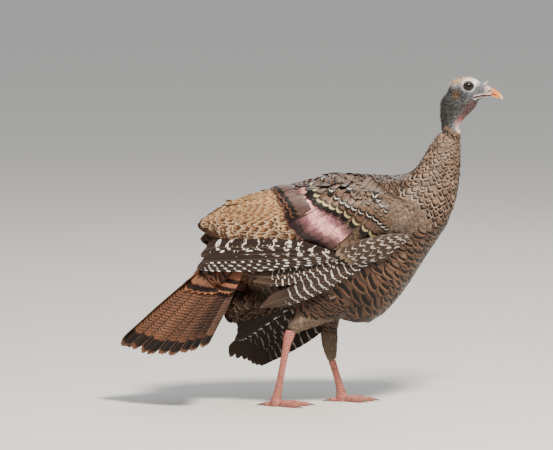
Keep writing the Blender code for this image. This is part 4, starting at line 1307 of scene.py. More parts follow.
# rows of wing coverts and tertials
def facePoint(x, z, sign):
    # the place on the full body seen from one side at this x and z, and its normal
    tree = fullBody["tree"]
    hit, normal, _, _ = tree.ray_cast(Vector((x, sign * 0.3, z)), Vector((0, -sign, 0)))
    if hit is None:
        hit, normal, _, _ = tree.find_nearest(Vector((x, sign * 0.05, z)))
    return np.array(hit), np.array(normal)


covertRows = (
    # kind, count, length and half width in mm, ways the top and bottom feathers point, depths of root and tip
    # in mm, then the line of the tips from top to bottom as shares of the coverts' box in the side view
    ("bronze", 13, 84, 10.5, ((-0.97, -0.25), (-0.8, -0.6)), (-3.6, 0.2),
     ((0.04, 1.08), (0.06, 0.796), (0.112, 0.363), (0.196, 0.129), (0.322, -0.15))),
    ("goldBand", 16, 40, 8.0, ((-0.85, -0.53), (-0.62, -0.78)), (-2.4, 1.2),
     ((0.228, 1.08), (0.28, 0.779), (0.448, 0.539), (0.659, 0.094), (0.71, 0.0))),
    ("spotted", 13, 30, 6.5, ((-0.75, -0.66), (-0.56, -0.83)), (-2.0, 1.5),
     ((0.333, 1.181), (0.427, 0.834), (0.543, 0.649), (0.69, 0.451), (0.76, 0.28))),
    ("spotted", 4, 27, 6.0, ((-0.75, -0.66), (-0.66, -0.75)), (-1.8, 1.6),
     ((0.417, 1.231), (0.47, 1.1), (0.52, 0.98))),
    ("dusky", 7, 27, 6.0, ((-0.66, -0.75), (-0.5, -0.86)), (-1.8, 1.6),
     ((0.55, 0.93), (0.595, 0.861), (0.701, 0.647), (0.76, 0.48))),
    ("dusky", 6, 25, 5.5, ((-0.75, -0.66), (-0.6, -0.8)), (-1.7, 1.7),
     ((0.501, 1.233), (0.595, 1.063), (0.66, 0.93))),
    ("spotted", 4, 25, 5.5, ((-0.6, -0.8), (-0.5, -0.86)), (-1.7, 1.7),
     ((0.69, 0.87), (0.725, 0.75), (0.764, 0.6))),
    ("blotched", 6, 40, 9.0, ((-0.98, -0.2), (-0.95, -0.3)), (-2.0, 1.5),
     ((0.16, 1.16), (0.28, 1.22), (0.4, 1.26))),
    ("blotched", 7, 42, 8.0, ((-0.98, -0.2), (-0.92, -0.4)), (-1.6, 1.4),
     ((0.0, 1.02), (0.05, 0.9), (0.1, 0.72), (0.13, 0.56))),
)
tertials = {
    "top": (  # the upper and lower edges of their field, from the front to the tips, as shares of their box
        (1.00, 1.17), (0.752, 1.135), (0.593, 1.077), (0.394, 0.964), (0.222, 0.797), (0.037, 0.568),
        (-0.003, 0.429),
    ),
    "low": (
        (1.07, -0.125), (0.752, -0.016), (0.527, 0.021), (0.262, 0.091), (0.077, 0.273), (0.01, 0.38),
        (-0.003, 0.429),
    ),
    "rows": (  # how far back along the field the tips stand, count, length as a share of it, half width in mm
        (0.995, 11, 0.62, 7.2), (0.86, 13, 0.56, 7.2), (0.66, 15, 0.50, 7.2), (0.45, 16, 0.40, 7.2),
        (0.22, 15, 0.28, 7.6),
    ),
    "depths": (-6.0, -2.4),
    "upperFrom": 0.52,  # the share of the field's height above which they are the buff kind
    "paler": "#c4996c",  # towards the top
}
rowTones = {
    "bronze": "#6b504c", "goldBand": "#6b5445", "spotted": "#6b5444", "dusky": "#786453", "blotched": "#66504a",
    "tertial": "#9a6c48", "upperTertial": "#a5805f",
}
bronzeSheenPaint = {"colour": "#b57d84", "middle": 0.66, "reach": 0.24}  # painted sheen: a paler pink mixed into the bronze row's tone, strongest here down its row


def rowFlock(tips, roots, half, depths, kind, sign):
    places = [(facePoint(*root, sign), facePoint(*tip, sign)) for root, tip in zip(roots, tips)]
    start = np.array([root[0] for root, _ in places])
    end = np.array([tip[0] for _, tip in places])
    count = len(start)
    tone = np.tile(featherColour(rowTones[kind]), (count, 1))
    return {
        "root": start,
        "along": unit(end - start),
        "normal": unit([root[1] + tip[1] for root, tip in places]),
        "length": np.linalg.norm(end - start, axis=1) * (1 + chance.uniform(-0.03, 0.03, count)),
        "half": np.full(count, half / 1000) * (1 + chance.uniform(-0.06, 0.06, count)),
        "low": np.full(count, depths[0] / 1000),
        "high": depths[1] / 1000 + np.linspace(0, 0.0004, count),
        "tilt": np.full(count, 0.0006 * sign),
        "tone": tone * (1 + chance.uniform(-0.08, 0.08, (count, 1))),
        "rand": chance.uniform(0, 1, count),
        "kind": np.full(count, kind),
    }


def wingRows(side):
    sign = sides[side]
    flocks = []

    def shaded(flock, colour, cover):
        flock["tone"] = flock["tone"] * (1 - cover) + np.array(featherColour(colour)) * cover
        flocks.append(flock)

    for kind, count, length, half, ways, depths, line in covertRows:
        tips = curveThrough(inProfile(f"wing_{side}_coverts", line), count)
        mix = np.linspace(0, 1, count)[:, None]
        ways = unit(np.array(ways[0]) * (1 - mix) + np.array(ways[1]) * mix)
        flock = rowFlock(tips, tips - ways * length / 1000, half, depths, kind, sign)
        # painted sheen on the bronze row: its middle feathers take a paler pink tone
        paintedSheen = ridge(mix, bronzeSheenPaint["middle"], bronzeSheenPaint["reach"]) * (kind == "bronze")
        shaded(flock, bronzeSheenPaint["colour"], paintedSheen)
    edges = [curveThrough(inProfile(f"wing_{side}_tertials", tertials[edge]), 101) for edge in ("low", "top")]

    def patch(back, up):
        low, top = (edge[int(round(np.clip(back, 0, 1) * 100))] for edge in edges)
        return low * (1 - up) + top * up

    for number, (back, count, share, half) in enumerate(tertials["rows"]):
        # every other row stands half a feather higher
        ups = (np.arange(count) + (0.5 if number % 2 else 0.35)) / (count - (0.0 if number % 2 else 0.2))
        ups = np.clip(ups + chance.uniform(-0.25, 0.25, count) / count, 0.02, 0.98)
        backs = np.clip(back + chance.uniform(-0.055, 0.055, count) * (back < 0.95), 0, 1)
        tips = np.array([patch(here, up) for here, up in zip(backs, ups)])
        before = np.array([(min(here - share, 0) * -0.2) * np.array((1, -0.1)) for here in backs])
        roots = np.array([patch(here - share, up) for here, up in zip(backs, ups)]) + before
        flock = rowFlock(tips, roots, half, tertials["depths"], "tertial", sign)
        flock["kind"] = np.where(ups > tertials["upperFrom"], "upperTertial", "tertial")
        shaded(flock, tertials["paler"], smoothStep(ups, 0.15, 0.85)[:, None] * 0.7)
    return flocks


tertialLook = {  # shared by the tertials
    "slot": "tertial_feathers", "rough": 0.42, "wrap": 0.02, "vary": 0.5, "blot": 8.0, "shaftShows": 0.4,
}
rowSpecs = {
    "bronze": {  # iridescent copper and pink, with a black end and a thin rust rim; the pale pink bands are painted sheen
        "name": "bronze iridescent wing coverts", "slot": "wing_coverts", "rough": 0.34, "metal": 0.25,
        "gloss": 0.4, "wrap": 0.03, "wobble": 0.05, "fray": 0.03, "vary": 0.6, "streak": 2.6, "lean": 0.9,
        "across": 0.5, "barb": 3.4, "relief": 0.9, "blot": 12.0,
        # painted sheen: a pale pink band across each feather, where its iridescence shines
        "bars": {
            "step": 70.0, "wander": 0.25, "shift": 0.1, "until": 0.86,
            "ramp": ((0.0, "#3a2826", 0.0), (0.36, "#b98286", 0.0), (0.54, "#f6b9b6", 0.9),
                     (0.7, "#f3b4b2", 0.85), (0.86, "#8a5f5f", 0.3), (1.0, "#3a2826", 0.0)),
        },
        "sides": ((0.0, "#261b1a", 0.0), (0.78, "#261b1a", 0.0), (0.9, "#1f1514", 0.9), (1.0, "#1f1514", 0.95)),
        "ramp": ((0.0, "#4a3836", 0.6), (0.3, "#6b4c48", 0.1), (0.5, "#6b4c48", 0.0), (0.62, "#553c3a", 0.6),
                 (0.73, "#34261f", 0.85), (0.8, "#171211", 0.95), (0.966, "#14100f", 0.95),
                 (0.978, "#80553a", 0.85), (1.0, "#755039", 0.85)),
    },
    "goldBand": {  # greenish gold band inside a black end
        "name": "gold banded coverts", "slot": "wing_coverts", "rough": 0.38, "metal": 0.15, "wrap": 0.06,
        "wobble": 0.05, "fray": 0.03, "vary": 0.3, "streak": 0.8, "lean": 1.2,
        "ramp": ((0.0, "#4c3c31", 0.3), (0.5, "#4c3c31", 0.2), (0.55, "#171311", 0.9), (0.62, "#171311", 0.9),
                 (0.66, "#a3946a", 0.9), (0.74, "#c2b68c", 0.95), (0.79, "#15110f", 0.97),
                 (1.0, "#1a1513", 0.97)),
    },
    "spotted": {  # broken white line between black bands
        "name": "white spotted coverts", "slot": "wing_coverts", "rough": 0.4, "wrap": 0.06, "wobble": 0.16,
        "fray": 0.07, "vary": 0.5, "streak": 0.9, "blot": 4.0,
        "ramp": ((0.0, "#4c3d33", 0.3), (0.62, "#5d4a3b", 0.2), (0.68, "#15110f", 0.97),
                 (0.82, "#15110f", 0.97), (0.845, "#c9c2b0", 0.95), (0.875, "#e4e0d4", 0.95),
                 (0.895, "#15110f", 0.97), (1.0, "#241c18", 0.97)),
    },
    "dusky": {  # dull, with a faint pale end
        "name": "dusky coverts", "slot": "wing_coverts", "rough": 0.5, "wrap": 0.12,
        "ramp": ((0.0, "#5a4a3e", 0.3), (0.72, "#5a4a3e", 0.2), (0.8, "#241c18", 0.8), (0.9, "#241c18", 0.8),
                 (0.94, "#a99a84", 0.6), (1.0, "#54453a", 0.7)),
    },
    "blotched": {  # black end with a rust rim
        "name": "black tipped scapulars", "slot": "wing_coverts", "rough": 0.4, "wrap": 0.1, "wobble": 0.12,
        "vary": 0.5, "streak": 1.0,
        "ramp": ((0.0, "#4d3b35", 0.4), (0.66, "#614a42", 0.4), (0.74, "#12100e", 0.95),
                 (0.92, "#12100e", 0.95), (0.96, "#7a5136", 0.8), (1.0, "#8a6044", 0.8)),
    },
    "tertial": {  # dark brown, crossed and edged by wavy cream lines
        **tertialLook, "name": "cream netted tertials", "wobble": 0.02, "fray": 0.03, "streak": 1.0,
        "shaft": "#5b412f",
        "bars": {
            "step": 18.0, "slant": -0.6, "until": 0.99,
            "ramp": ((0.0, "#2f2018", 0.95), (0.22, "#3f2b1c", 0.9), (0.38, "#9c683f", 0.65),
                     (0.6, "#d6a878", 0.6), (0.7, "#f2e0c0", 0.95), (0.8, "#f8ead0", 0.95),
                     (0.86, "#b88656", 0.6), (0.94, "#38271c", 0.92), (1.0, "#3d2b20", 0.9)),
        },
        "sides": ((0.0, "#d2b692", 0.0), (0.7, "#8a6448", 0.0), (0.8, "#a27a58", 0.6), (0.9, "#e6d2b0", 0.85),
                  (1.0, "#e6d2b0", 0.85)),
        "ramp": ((0.0, "#7a5a42", 0.2), (0.93, "#4d3828", 0.5), (0.976, "#4d3828", 0.5),
                 (0.986, "#e2cba6", 0.85), (1.0, "#e2cba6", 0.85)),
    },
    "upperTertial": {  # buff, with soft brown bars and streaks
        **tertialLook, "name": "buff barred upper tertials", "wobble": 0.03, "fray": 0.04, "streak": 1.2,
        "shaft": "#6b4c36",
        "bars": {
            "step": 16.0, "slant": -0.8, "wander": 1.3, "until": 0.99,
            "ramp": ((0.0, "#4d3425", 0.85), (0.2, "#6b4a32", 0.7), (0.42, "#b88a60", 0.2),
                     (0.64, "#e6c49a", 0.5), (0.76, "#f4dcb8", 0.75), (0.86, "#b88a60", 0.3),
                     (1.0, "#4d3425", 0.85)),
        },
        "sides": ((0.0, "#d2b692", 0.0), (0.8, "#8a6448", 0.1), (0.9, "#d9bd98", 0.6), (1.0, "#d9bd98", 0.7)),
        "ramp": ((0.0, "#8a6448", 0.2), (0.93, "#6b4c38", 0.4), (0.976, "#6b4c38", 0.4),
                 (0.986, "#e0c6a0", 0.7), (1.0, "#e0c6a0", 0.7)),
    },
}
covertShape = {
    **coatShape, "waist": 0.55, "taper": 0.04, "round": 0.50, "square": 3.0, "ragged": 0.02, "bend": 0.03,
    "cup": 0.06, "steep": 0.8,
}
tertialShape = {**covertShape, "round": 0.95, "taper": 0.18, "free": 0.5}
rowMaterials = {kind: featherMaterial(spec) for kind, spec in rowSpecs.items()}
for side in sides:
    wingFlocks = wingRows(side)
    for kind, spec in rowSpecs.items():
        grid, shape = (tertialVane, tertialShape) if "ertial" in kind else (bodyVane, covertShape)
        parts = [chosen(flock, flock["kind"] == kind) for flock in wingFlocks]
        groups = [coatGroup(part, grid, shape, fullBody["tree"]) for part in parts if len(part["root"])]
        replaced = (f"wing_{side}_tertials",) if kind == "tertial" else ()
        feathersPiece(f"{kind}Coverts_{side}", groups, rowMaterials[kind], replaced)
print("wing coverts and tertials done")


# flight feathers
# Each stack: kind, plate, depth below its face and half widths of the outer and inner vanes in mm, where each
# feather lies between the top and the bottom one, then the lower edges of those two from the wrist to the tip,
# as shares of the plate's box in the side view.
quillStacks = {
    "right": (
        ("primary", "primaries", 4.4, 4.6, 19, (0.35, 0.68, 1.0),
         ((0.9, 0.86), (0.7, 0.6), (0.55, 0.47), (0.4, 0.335), (0.24, 0.17), (0.062, 0.0)),
         ((0.9, 0.83), (0.7, 0.555), (0.56, 0.355), (0.41, 0.175), (0.24, 0.03), (0.056, 0.0))),
        ("primary", "primaries", 2.4, 4.4, 21, (0.45, 1.0),
         ((0.88, 0.8), (0.57, 0.64), (0.42, 0.56), (0.28, 0.49), (0.14, 0.45), (-0.005, 0.46)),
         ((0.88, 0.79), (0.57, 0.595), (0.42, 0.43), (0.28, 0.335), (0.14, 0.305), (0.01, 0.36))),
        ("secondary", "secondaries", 0.2, 4.8, 16, (0.0, 0.36, 0.7, 1.0),
         ((0.66, 0.42), (0.45, 0.31), (0.3, 0.27), (0.15, 0.22), (0.03, 0.2)),
         ((0.66, 0.34), (0.579, 0.23), (0.404, 0.11), (0.242, 0.045), (0.1, 0.035), (0.012, 0.07))),
        ("innerSecondary", "secondaries", -0.6, 5.5, 18, (0.0, 1.0),
         ((0.64, 0.42), (0.52, 0.46), (0.4, 0.5), (0.27, 0.5), (0.14, 0.48), (0.05, 0.46)),
         ((0.66, 0.38), (0.52, 0.38), (0.4, 0.38), (0.27, 0.36), (0.14, 0.34), (0.022, 0.34))),
        ("primaryCovert", "secondaries", -2.2, 3.6, 8.5, (0.0, 0.34, 0.67, 1.0),
         ((0.985, 0.82), (0.9, 0.74), (0.8, 0.66), (0.72, 0.52), (0.645, 0.4)),
         ((0.985, 0.76), (0.93, 0.56), (0.859, 0.34), (0.78, 0.23), (0.7, 0.225))),
    ),
    "left": (
        ("primary", "primaries", 2.0, 4.6, 17, (0.12, 0.3, 0.47, 0.63, 0.77, 0.89, 1.0),
         ((0.97, 0.99), (0.811, 0.866), (0.61, 0.653), (0.423, 0.469), (0.236, 0.298), (0.078, 0.163),
          (0.0, 0.082)),
         ((0.99, 0.93), (0.883, 0.706), (0.719, 0.458), (0.529, 0.234), (0.365, 0.107), (0.239, 0.034),
          (0.19, 0.006))),
        ("innerSecondary", "secondaries", -0.6, 5.5, 16, (0.0, 1.0),
         ((0.97, 1.05), (0.78, 1.07), (0.56, 1.04), (0.34, 0.93), (0.16, 0.78), (0.06, 0.66), (0.03, 0.55)),
         ((0.98, 1.01), (0.789, 1.0), (0.585, 0.96), (0.36, 0.84), (0.18, 0.7), (0.066, 0.56), (0.034, 0.45))),
        ("secondary", "secondaries", 0.2, 5.0, 17, (0.14, 0.3, 0.45, 0.59, 0.73, 0.86, 1.0),
         ((0.98, 1.0), (0.789, 0.985), (0.591, 0.93), (0.367, 0.811), (0.188, 0.667), (0.066, 0.523),
          (0.034, 0.391)),
         ((0.99, 0.94), (0.828, 0.785), (0.616, 0.531), (0.405, 0.319), (0.207, 0.124), (0.079, 0.014),
          (0.002, 0.0))),
    ),
}
quillShape = {
    "waist": 0.30, "belly": 0.32, "taper": 0.0, "tipFrom": 0.86, "tipWidth": 0.30, "round": 0.9,
    "ragged": 0.006, "thick": 0.00028, "shaft": 0.00055, "cup": 0.05, "wave": 0.00016,
}
roundQuill = {**quillShape, "tipFrom": 0.90, "tipWidth": 0.72, "round": 0.6}
quills = {
    "rows": 27,  # places along each path, one for each row of the long vane's corners
    "gap": 0.00062,  # from one feather of a stack to the next
    "uneven": 0.035,  # no two end quite alike
    "tones": {
        "primary": "#3a2e26", "secondary": "#33271f", "innerSecondary": "#2c211b", "primaryCovert": "#43352b",
    },
}


def plateOf(node, sign):
    # a smooth sheet y = f(x, z) through the outer face of a plate
    points, normals = readPoints(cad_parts[node].data)
    outer = points[normals[:, 1] * sign > 0.3]
    centre = outer.mean(0)

    def terms(places):
        x, z = places[..., 0] - centre[0], places[..., -1] - centre[2]
        return np.stack([np.ones_like(x), x, z, x * x, x * z, z * z], -1)

    factors = np.linalg.lstsq(terms(outer), outer[:, 1], rcond=None)[0]

    def onPlate(flat):
        x, z = flat[..., 0] - centre[0], flat[..., 1] - centre[2]
        y = terms(flat) @ factors
        slopeX = factors[1] + 2 * factors[3] * x + factors[4] * z
        slopeZ = factors[2] + factors[4] * x + 2 * factors[5] * z
        facing = unit(np.stack([-slopeX * sign, np.full_like(x, sign), -slopeZ * sign], -1))
        return np.stack([flat[..., 0], y, flat[..., 1]], -1), facing

    return onPlate


def pathLengths(paths):
    return np.linalg.norm(np.diff(paths, axis=1), axis=2).sum(1)


def quillGroup(stack, side, bake):
    kind, plate, depth, narrow, wide, shares, *edges = stack
    node, sign = f"wing_{side}_{plate}", sides[side]
    reach = np.linspace(0, 1, quills["rows"])
    top, bottom = (curveThrough(inProfile(node, edge), quills["rows"]) for edge in edges)
    share = np.array(shares)[:, None, None]
    flat = top * (1 - share) + bottom * share
    count = len(flat)
    cuts = reach * (1 - chance.uniform(0, quills["uneven"], (count, 1)))
    flat = np.array([[np.interp(cut, reach, line[:, k]) for k in range(2)] for cut, line in zip(cuts, flat)])
    flat = flat.transpose(0, 2, 1)
    # the shaft runs above the lower edge by the outer vane's width, which grows from the root and closes
    run = unit(np.gradient(flat, axis=1))
    up = np.stack([run[..., 1], -run[..., 0]], -1)
    up = up * np.sign(up[..., 1:])
    grow = np.sin(np.minimum(1, reach / 0.3) * math.pi / 2)[None, :, None]
    close = np.sqrt(np.clip(1 - ((reach - 0.8) / 0.2).clip(0, 1) ** 2, 0.03, 1))[None, :, None]
    flat = flat + up * narrow / 1000 * grow * close
    paths, facing = plateOf(node, sign)(flat)
    paths = paths - facing * (depth / 1000 + np.arange(count) * quills["gap"])[:, None, None]
    vanes = (np.full(count, half / 1000) for half in (narrow, wide))
    flip = side == "left"
    shape = quillShape if kind == "primary" and side == "right" else roundQuill
    points = laidVanes(paths, facing, *vanes, shape, flip)
    tone = np.tile(featherColour(quills["tones"][kind]), (count, 1))
    return {
        "points": points, "grid": longVane, "tone": tone * (1 + chance.uniform(-0.08, 0.08, (count, 1))),
        "rand": chance.uniform(0, 1, count), "length": pathLengths(paths), "bake": bake, "flip": flip,
    }


quillLook = {  # shared by all the flight feathers
    "slot": "barred_quills", "rough": 0.45, "wrap": 0.0, "wobble": 0.0, "fray": 0.0, "vary": 0.3, "streak": 0.6,
    "shaft": "#6f5e50", "lean": 2.0,
}
quillSpecs = {
    "primary": {  # dark, crossed by thin white bars, the narrow outer vane edged with white dashes
        **quillLook, "name": "white barred primaries", "vary": 0.25, "shaft": "#7c6a5a", "lean": 3.0,
        "outerOnly": True, "dashed": True,
        "bars": {
            "step": 16.5, "slant": 0.12, "wander": 0.6, "until": 0.84, "inner": (0.35, 1.0, 0.12),
            "ramp": ((0.0, "#e9e3da", 0.0), (0.56, "#d8cbb8", 0.0), (0.61, "#ece6dc", 0.95),
                     (0.7, "#ece6dc", 0.95), (0.77, "#d8cbb8", 0.0), (1.0, "#e9e3da", 0.0)),
        },
        "sides": ((0.0, "#f2eee8", 0.0), (0.55, "#f2eee8", 0.0), (0.72, "#ffffff", 1.0), (1.0, "#ffffff", 1.0)),
        "ramp": ((0.0, "#2c211a", 0.2), (0.8, "#5c4838", 0.0), (0.92, "#584436", 0.6), (0.975, "#584436", 0.6),
                 (1.0, "#8f7a68", 0.6)),
    },
    "secondary": {  # browner, with rows of white spots along the outer vane
        **quillLook, "name": "white spotted secondaries", "outerOnly": True, "dashed": True,
        "bars": {
            "step": 18.0, "slant": 0.3, "wander": 0.8, "until": 0.975, "inner": (-0.55, -0.35, 0.0),
            "ramp": ((0.0, "#e9e3da", 0.0), (0.46, "#c9b49a", 0.0), (0.5, "#f7f3ec", 0.98),
                     (0.78, "#f7f3ec", 0.98), (0.83, "#c9b49a", 0.0), (1.0, "#e9e3da", 0.0)),
        },
        "sides": ((0.0, "#f4efe6", 0.0), (0.55, "#f4efe6", 0.0), (0.72, "#ffffff", 1.0), (1.0, "#ffffff", 1.0)),
        "ramp": ((0.0, "#2c211a", 0.2), (0.9, "#3a2c23", 0.2), (0.97, "#3a2c23", 0.6), (1.0, "#5e4b3c", 0.6)),
    },
    "innerSecondary": {  # crossed by a few broad ragged white bars
        **quillLook, "name": "white barred inner secondaries", "streak": 0.8,
        "bars": {
            "step": 26.0, "slant": 0.25, "wander": 1.2, "shift": 0.5, "until": 0.95,
            "ramp": ((0.0, "#e9e3da", 0.0), (0.54, "#8a6f58", 0.0), (0.59, "#c9b498", 0.7),
                     (0.63, "#f4efe6", 0.98), (0.74, "#f4efe6", 0.98), (0.79, "#a88f74", 0.6),
                     (0.86, "#8a6f58", 0.0), (1.0, "#e9e3da", 0.0)),
        },
        "ramp": ((0.0, "#2c211a", 0.2), (0.9, "#3a2c23", 0.2), (0.97, "#3a2c23", 0.6), (1.0, "#5e4b3c", 0.6)),
    },
    "primaryCovert": {  # short and dark, with a few white spots
        **quillLook, "name": "spotted primary coverts", "wrap": 0.05, "streak": 0.7, "lean": 1.0,
        "bars": {
            "step": 17.0, "slant": 0.5, "until": 0.98, "inner": (-0.2, 0.5, 0.12),
            "ramp": ((0.0, "#e9e3da", 0.0), (0.54, "#d9c8b2", 0.0), (0.62, "#ece5da", 0.95),
                     (0.75, "#ece5da", 0.95), (0.83, "#d9c8b2", 0.0), (1.0, "#e9e3da", 0.0)),
        },
        "ramp": ((0.0, "#2c211a", 0.2), (0.88, "#5a4638", 0.0), (0.96, "#8d7660", 0.6), (1.0, "#a48d76", 0.7)),
    },
}
quillMaterials = {kind: featherMaterial(spec) for kind, spec in quillSpecs.items()}
for side, stacks in quillStacks.items():
    for kind, spec in quillSpecs.items():
        own = [stack for stack in stacks if stack[0] == kind]
        counts = [len(shares) for *_, shares, _, _ in own]
        groups = [
            quillGroup(stack, side, bakeGrid(count, sum(counts[:number]), sum(counts)))
            for number, (stack, count) in enumerate(zip(own, counts))
        ]
        replaced = (f"wing_{side}_{kind[:-1]}ies",) if kind in ("primary", "secondary") else ()
        if groups:
            feathersPiece(f"{kind}Quills_{side}", groups, quillMaterials[kind], replaced)
print("flight feathers done")


# tail
tail = {
    "feathersASide": 9,
    "wideMiddle": 15.5,  # half widths in mm of the middle and outermost feathers
    "wideOuter": 12.5,
    "gap": 0.00065,
    "bow": 0.004,
    "tones": ((0.45, "#85604b"), (0.7, "#5d4335"), (0.84, "#241e1b"), (1.1, "#52403a")),  # outwards, up to
    "covertHalf": 0.0125,
}
flankSpreads = np.array([-1.0, -0.92, -0.84, -0.76, 0.76, 0.84, 0.92, 1.0])
tailCoverts = {
    # spreads over the fan, start along it, end in the middle and how much farther at the edge, lift, order in
    # the middle and its change towards the edge, colour, first room on the map and how many there are
    "high": (np.linspace(-0.60, 0.60, 11), 0.10, 0.48, -0.05, 0.0050, 0.0, 4, "#d29a79", (0, 20)),
    "low": (np.linspace(-0.50, 0.50, 9), 0.04, 0.36, 0.0, 0.0085, 0.0, 4, "#bf8a6c", (11, 20)),
    "side": (flankSpreads, 0.05, 0.34, 0.12, 0.0075, 6.6, -6, "#b88668", (0, 19)),
    "under": (np.linspace(-0.9, 0.9, 11), 0.10, 0.46, 0.0, -0.0070, 0.0, -3, "#6b452f", (8, 19)),
}
middleBase, middleTip = spot("tail_middle", 1.326, 0.5, 1.384), spot("tail_middle", -0.045, 0.5, 0.094)
outerBase, outerTip = spot("tail_left", 1.0755, 0.084, 1.169), spot("tail_left", 0.597, 1.035, 0.154)


def tailPath(spread, start, end, lift):
    # a line down the fan at this spread (-1 right edge, 1 left edge), and the way the fan faces there
    def place(share, reach):
        near = min(abs(share), 1.0)
        base = middleBase.lerp(outerBase, near)
        inner, outer = middleTip - middleBase, outerTip - outerBase
        way = inner.normalized().slerp(outer.normalized(), near)
        length = inner.length + (outer.length - inner.length) * near**1.2
        point = base + way * length * reach
        return np.array((point.x, math.copysign(point.y, share) if share else point.y, point.z))

    reaches = np.linspace(start, end, quills["rows"])
    points = np.array([place(spread, reach) for reach in reaches])
    beside = np.array([place(spread + 0.02, reach) - place(spread - 0.02, reach) for reach in reaches + 0.05])
    facing = -unit(np.cross(points[-1] - points[0], beside))
    bow = np.linspace(0, 1, quills["rows"])[:, None] ** 2 * tail["bow"]  # down a little towards the tips
    return points + facing * (lift - bow), facing


def fanGroup(spreads, start, ends, half, lift, order, tones, shape, bake):
    lifts = lift - order * tail["gap"]
    laid = [tailPath(spread, start, end, rise) for spread, end, rise in zip(spreads, ends, lifts)]
    paths, facing = (np.array(rows) for rows in zip(*laid))
    points = laidVanes(paths, facing, half, half, shape)
    return {
        "points": points, "grid": longVane, "tone": np.array([featherColour(tone) for tone in tones]),
        "rand": chance.uniform(0, 1, len(spreads)), "length": pathLengths(paths), "bake": bake,
    }


tailSpecs = {
    "tail": {  # rufous with fine wavy black lines, a broad black band and a rust tip
        "name": "banded rufous tail feathers", "slot": "tail_feathers", "rough": 0.42, "wrap": 0.02,
        "wobble": 0.02, "fray": 0.012, "vary": 0.55, "streak": 0.9, "shaft": "#8a6a55", "shaftShows": 0.2,
        "lean": 4.5, "blot": 9.0, "barb": 3.2,
        "bars": {
            "step": 7.0, "slant": 1.2, "wander": 1.1, "until": 0.9,
            "ramp": ((0.0, "#1d1511", 0.0), (0.34, "#241a14", 0.2), (0.46, "#1d1511", 0.85),
                     (0.74, "#1d1511", 0.8), (0.86, "#a06c4c", 0.35), (1.0, "#946347", 0.1)),
        },
        "sides": ((0.0, "#1d1714", 0.0), (0.66, "#1d1714", 0.0), (0.88, "#1d1714", 0.8), (1.0, "#8f7660", 0.6)),
        "ramp": ((0.0, "#5e4232", 0.2), (0.78, "#6e4b36", 0.0), (0.855, "#7a4f36", 0.3),
                 (0.87, "#171311", 0.95), (0.967, "#1d1816", 0.97), (0.978, "#6f4c38", 0.95),
                 (0.99, "#7d5840", 0.95), (1.0, "#6b5646", 0.8)),
    },
    "upper": {  # chestnut, black band, dull rim
        "name": "banded upper tail coverts", "slot": "tail_feathers", "rough": 0.42, "wrap": 0.05,
        "wobble": 0.04, "fray": 0.03, "streak": 0.9, "lean": 1.5, "blot": 8.0,
        "bars": {
            "step": 4.6, "slant": 0.8, "wander": 1.2, "until": 0.84,
            "ramp": ((0.0, "#2b1e17", 0.0), (0.55, "#2b1e17", 0.1), (0.66, "#2b1e17", 0.55),
                     (0.82, "#2b1e17", 0.5), (0.92, "#a0664a", 0.25), (1.0, "#9a6446", 0.2)),
        },
        "ramp": ((0.0, "#6b4636", 0.3), (0.72, "#85553f", 0.1), (0.79, "#9c5c3c", 0.4), (0.82, "#13100f", 0.97),
                 (0.93, "#13100f", 0.97), (0.95, "#94613f", 0.9), (1.0, "#8a6248", 0.9)),
    },
    "side": {  # two black bars with rust between
        "name": "twice barred side coverts", "slot": "tail_feathers", "rough": 0.42, "wrap": 0.02,
        "wobble": 0.03, "fray": 0.02, "vary": 0.25, "streak": 0.8, "lean": 1.2,
        "ramp": ((0.0, "#6e4a3a", 0.5), (0.62, "#82543f", 0.7), (0.645, "#12100f", 0.98),
                 (0.735, "#12100f", 0.98), (0.755, "#92604a", 0.95), (0.835, "#875641", 0.95),
                 (0.85, "#12100f", 0.98), (0.935, "#12100f", 0.98), (0.95, "#96694c", 0.95),
                 (1.0, "#96694c", 0.95)),
    },
}
tailShape = {
    **quillShape, "waist": 0.35, "belly": 0.75, "tipFrom": 0.94, "tipWidth": 0.78, "round": 0.55,
    "ragged": 0.016, "cup": 0.06,
}
coverShape = {**tailShape, "waist": 0.45, "belly": 0.55, "tipFrom": 0.84, "tipWidth": 0.35}
tailMaterials = {kind: featherMaterial(spec) for kind, spec in tailSpecs.items()}


def coverGroup(name):
    spreads, start, end, farther, lift, order, change, colour, room = tailCoverts[name]
    count, share = len(spreads), np.abs(spreads)
    return fanGroup(
        spreads, start, end + farther * share, np.full(count, tail["covertHalf"]), lift, order + change * share,
        [colour] * count, coverShape, bakeGrid(count, *room),
    )


def makeTail():
    number = tail["feathersASide"]
    inner = (np.arange(number) + 0.5) / number
    spreads = np.concatenate([-inner[::-1], inner]) + chance.uniform(-0.022, 0.022, number * 2)
    ends = 1 - chance.uniform(0, 0.028, number * 2)
    share = np.abs(spreads)
    half = (tail["wideMiddle"] + (tail["wideOuter"] - tail["wideMiddle"]) * share) / 1000
    tones = [next(colour for until, colour in tail["tones"] if near < until) for near in share]
    fan = fanGroup(spreads, 0.05, ends, half, 0.0, share * number, tones, tailShape, bakeGrid(len(spreads)))
    tailNodes = ("tail_middle", "tail_right", "tail_left")
    feathersPiece("tailFan", [fan], tailMaterials["tail"], tailNodes)
    groups = [coverGroup("high"), coverGroup("low")]
    feathersPiece("upperTailCoverts", groups, tailMaterials["upper"])
    groups = [coverGroup("side"), coverGroup("under")]
    ventNodes = ("tail_coverts", "vent_feathers")
    feathersPiece("sideTailCoverts", groups, tailMaterials["side"], ventNodes)


makeTail()
print("tail done")


